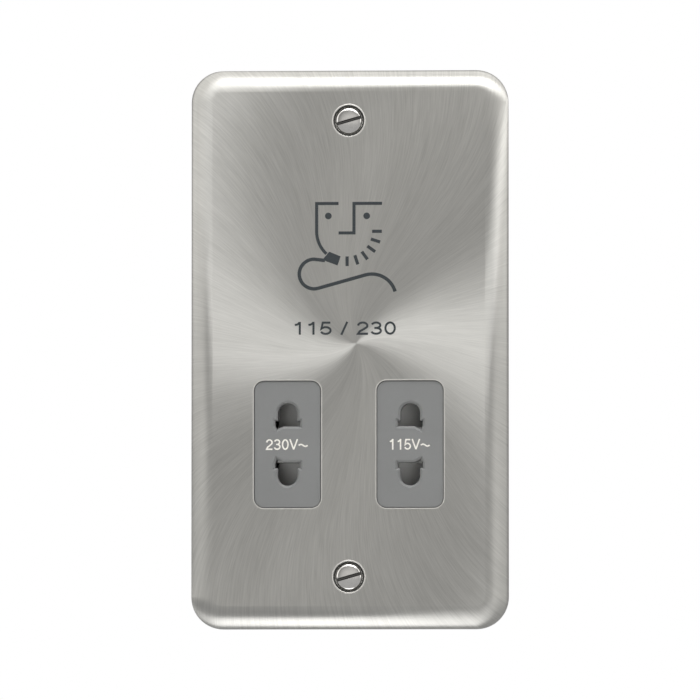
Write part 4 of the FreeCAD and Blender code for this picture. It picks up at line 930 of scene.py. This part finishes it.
def stud_retainers():
    """Domed push-on washers whose inner teeth bite on the studs."""
    node = "stud_retainers"
    low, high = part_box(node)
    rim = 3.2 * MM
    bite = 1.5 * MM
    gap_radius = 2.1 * MM
    thick = 0.28 * MM
    teeth = 6
    steps = 8
    gap_steps = 2
    points, faces = [], []
    around = teeth * steps
    for layer in (0.0, thick):
        for step in range(around):
            angle = 2 * math.pi * step / around
            inner = gap_radius if step % steps < gap_steps else bite
            for radius, lift in ((inner, 0.5 * MM), (2.3 * MM, 0.12 * MM),
                                 (rim - 0.25 * MM, 0.0), (rim, 0.08 * MM)):
                points.append(Vector((radius * math.cos(angle), lift + layer, radius * math.sin(angle))))
    layer_count = around * 4
    for step in range(around):
        after = (step + 1) % around
        for ring in range(3):
            here, next_one = step * 4 + ring, after * 4 + ring
            faces.append((here, next_one, next_one + 1, here + 1))
            faces.append(tuple(layer_count + corner for corner in (here + 1, next_one + 1, next_one, here)))
        for ring in (0, 3):
            here, next_one = step * 4 + ring, after * 4 + ring
            side = (here, here + layer_count, next_one + layer_count, next_one)
            faces.append(side if ring == 0 else side[::-1])
    source = new_piece("retainer", points, faces, FINISHES["spring_wire"])
    plate_back = -3.0 * MM
    strap_thick = 0.6 * MM
    placements = []
    for x in (low.x + rim, high.x - rim):
        for z in (low.z + rim, high.z - rim):
            on_strap = x > 0 and z < 0
            placements.append(Matrix.Translation((x, plate_back + (strap_thick if on_strap else 0.0), z)))
    retainers = copies(f"{node}_toothed", source, placements, FINISHES["spring_wire"])
    stand_in(retainers, node)


def build_pieces():
    """Everything that the scene adds to the CAD nodes."""
    fixing_screw("fixing_screw_upper")
    fixing_screw("fixing_screw_lower")
    screw_group("carrier_screws", 1.1 * MM, 1.8 * MM, 1)
    screw_group("housing_screws", 1.2 * MM, 1.8 * MM, 1)
    screw_group("core_screws", 1.5 * MM, 1.8 * MM, -1)
    screw_group("terminal_screws", 1.5 * MM, 1.8 * MM, 1, columns=3, rows=1)
    shutter_spring("shutter_spring_left", -1)
    shutter_spring("shutter_spring_right", 1)
    wound_coil("primary_winding", 0.28 * MM)
    wound_coil("secondary_winding", 0.34 * MM)
    stud_retainers()
    window_rim("window_rim_230", -OUTLET_X)
    window_rim("window_rim_115", OUTLET_X)
    inked("print_symbol", shaver_symbol(), PLATE_FACE, PLATE_INK)
    rating = numerals("115 / 230", RATING_PLACE, RATING_HEIGHT, RATING_WIDTH, RATING_WEIGHT)
    inked("print_rating", rating, PLATE_FACE, PLATE_INK)
    print_pad("print_230", "230V~", -OUTLET_X, PAD_230_WIDTH)
    print_pad("print_115", "115V~", OUTLET_X, PAD_115_WIDTH)


# Camera

PIXELS_PER_MM = 3.788
IMAGE_PIXELS = 700
CAMERA_AZIMUTH = 3.0
CAMERA_ELEVATION = -3.0
AIM = (0.33 * MM, -0.42 * MM)
LENS = 500.0
SENSOR = 36.0

# The world's light. Each START and END is a part of a direction of length 1: along X for the sides,
# Z for above and below, and Y for behind. FRONT_FULL and FRONT_NONE are parts along Y too.

SIDE_LIGHT = 0.13
SIDE_START = 0.42
SIDE_END = 0.87
FAR_SIDE_LIGHT = 1.25
FRONT_LIGHT = 0.47
FRONT_FULL = -0.975
FRONT_NONE = -0.88
TOP_LIGHT = 1.10
ABOVE_START = 0.35
ABOVE_END = 0.95
DARK_BEHIND = 0.3
BEHIND_START = 0.68
BEHIND_END = 0.84
BACK_LIFT = 0.6
LIGHT_COLOUR = (1.0, 0.99, 0.97, 1.0)
WHITE = (1.0, 1.0, 1.0, 1.0)

# The floor, and the pool of light on it that metal sees

FLOOR_Z = -0.16
FLOOR_RADIUS = 6.0
FLOOR_SIDES = 72
FLOOR_COLOUR = (0.8, 0.8, 0.79, 1.0)
FLOOR_GLOW = 0.3
POOL_AHEAD = 0.008
POOL_RADIUS = 0.045
POOL_FADE = 0.025
POOL_LIGHT = 2.6
POOL_OUTSIDE = 0.42

# Each lamp's place, size and power

LAMPS = {
    "overhead": ((-0.25, -0.45, 1.1), 0.9, 1.5),
    "near": ((0.08, -0.32, 0.60), 0.56, 3.2),
    "back": ((0.1, 0.75, 0.95), 0.8, 0.6),
}


def make_camera():
    """A long lens, a little to the right of the plate's middle and a little below it."""
    data = bpy.data.cameras.new("camera")
    data.lens = LENS
    data.sensor_width = SENSOR
    data.clip_start, data.clip_end = 0.05, 50.0
    camera = bpy.data.objects.new("camera", data)
    bpy.context.scene.collection.objects.link(camera)
    frame_width = IMAGE_PIXELS / PIXELS_PER_MM * MM
    distance = frame_width * LENS / SENSOR
    azimuth, elevation = math.radians(CAMERA_AZIMUTH), math.radians(CAMERA_ELEVATION)
    back = Vector((math.sin(azimuth) * math.cos(elevation), -math.cos(azimuth) * math.cos(elevation),
                   math.sin(elevation)))
    target = Vector((AIM[0], PLATE_FACE, AIM[1]))
    camera.location = target + back * distance
    camera.rotation_mode = "QUATERNION"
    camera.rotation_quaternion = (-back).to_track_quat("-Z", "Y")
    bpy.context.scene.camera = camera


def make_world():
    """White for the camera. As light: bright above, below and at the far sides, with a soft glow
    straight in front, and dim between them and behind."""
    world = bpy.data.worlds.new("studio")
    bpy.context.scene.world = world
    world.use_nodes = True
    tree = world.node_tree
    tree.nodes.clear()

    def node(kind, *sources, **settings):
        """A node with its first inputs fed by sockets or numbers."""
        made = tree.nodes.new(kind)
        for key, setting in settings.items():
            setattr(made, key, setting)
        for socket, source in zip(made.inputs, sources):
            if isinstance(source, bpy.types.NodeSocket):
                tree.links.new(source, socket)
            else:
                socket.default_value = source
        return made.outputs[0]

    def step(source, start, end, low, high):
        """A soft step of a level between two places."""
        return node("ShaderNodeMapRange", source, start, end, low, high, interpolation_type="SMOOTHSTEP")

    def calculated(operation, *sources):
        return node("ShaderNodeMath", *sources, operation=operation)

    direction = tree.nodes.new("ShaderNodeTexCoord").outputs["Generated"]
    parts = tree.nodes.new("ShaderNodeSeparateXYZ")
    tree.links.new(direction, parts.inputs[0])
    x, y, z = parts.outputs
    sides = step(calculated("ABSOLUTE", x), SIDE_START, SIDE_END, SIDE_LIGHT, FAR_SIDE_LIGHT)
    backwards = calculated("MAXIMUM", y, 0.0)
    raised = calculated("MULTIPLY_ADD", backwards, BACK_LIFT, calculated("ABSOLUTE", z))
    above = step(raised, ABOVE_START, ABOVE_END, 0.0, 1.0)
    behind = step(y, BEHIND_START, BEHIND_END, 1.0, DARK_BEHIND)
    vertical = calculated("MULTIPLY", calculated("MULTIPLY", above, TOP_LIGHT), behind)
    level = calculated("MULTIPLY_ADD", calculated("SUBTRACT", 1.0, above), sides, vertical)
    front = step(y, FRONT_FULL, FRONT_NONE, FRONT_LIGHT, 0.0)
    light = node("ShaderNodeBackground", LIGHT_COLOUR, calculated("ADD", level, front))
    white = node("ShaderNodeBackground", WHITE, 1.0)
    ray = tree.nodes.new("ShaderNodeLightPath").outputs["Is Camera Ray"]
    mixed = node("ShaderNodeMixShader", ray, light, white)
    tree.links.new(mixed, tree.nodes.new("ShaderNodeOutputWorld").inputs[0])


def make_floor():
    """A pale round floor below the plate. It shows white, and keeps the shadow. Metal sees a pool
    of light on it, almost straight under the plate."""
    graph = Graph("floor")
    x, y, _ = graph.place()
    away = graph.distance(x, graph.math("ADD", y, POOL_AHEAD))
    pool = graph.node("ShaderNodeMapRange", interpolation_type="SMOOTHSTEP")
    levels = (away, POOL_RADIUS, POOL_RADIUS + POOL_FADE, POOL_LIGHT, POOL_OUTSIDE)
    for socket, source in zip(pool.inputs, levels):
        graph.feed(socket, source)
    reflected = graph.node("ShaderNodeEmission")
    graph.feed(reflected.inputs["Strength"], pool.outputs[0])
    graph.set(Roughness=0.9, Base_Color=FLOOR_COLOUR)
    glow = graph.node("ShaderNodeEmission")
    ray = graph.node("ShaderNodeLightPath")
    graph.feed(glow.inputs["Strength"], graph.math("MULTIPLY", ray.outputs["Is Camera Ray"], FLOOR_GLOW))
    both = graph.node("ShaderNodeAddShader")
    graph.feed(both.inputs[0], graph.shader.outputs[0])
    graph.feed(both.inputs[1], glow.outputs[0])
    seen_in_metal = graph.math("MAXIMUM", ray.outputs["Is Glossy Ray"], ray.outputs["Is Transmission Ray"])
    chosen = graph.node("ShaderNodeMixShader")
    graph.feed(chosen.inputs[0], seen_in_metal)
    graph.feed(chosen.inputs[1], both.outputs[0])
    graph.feed(chosen.inputs[2], reflected.outputs[0])
    graph.feed(graph.output.inputs["Surface"], chosen.outputs[0])
    angles = [math.radians(360 / FLOOR_SIDES * step) for step in range(FLOOR_SIDES)]
    ring = [Vector((FLOOR_RADIUS * math.cos(angle), FLOOR_RADIUS * math.sin(angle), FLOOR_Z))
            for angle in angles]
    floor = new_piece("floor", ring, [tuple(range(FLOOR_SIDES))], graph.material)


def make_lamp(name, place, size, power):
    """A soft square lamp that points at the plate's middle."""
    data = bpy.data.lights.new(name, "AREA")
    data.size = size
    data.energy = power
    lamp = bpy.data.objects.new(name, data)
    bpy.context.scene.collection.objects.link(lamp)
    lamp.location = place
    lamp.rotation_mode = "QUATERNION"
    lamp.rotation_quaternion = (-Vector(place)).to_track_quat("-Z", "Y")


build_pieces()
make_camera()
make_world()
make_floor()
for lamp_name, (lamp_place, lamp_size, lamp_power) in LAMPS.items():
    make_lamp(lamp_name, lamp_place, lamp_size, lamp_power)
bpy.context.scene.view_settings.view_transform = "Standard"
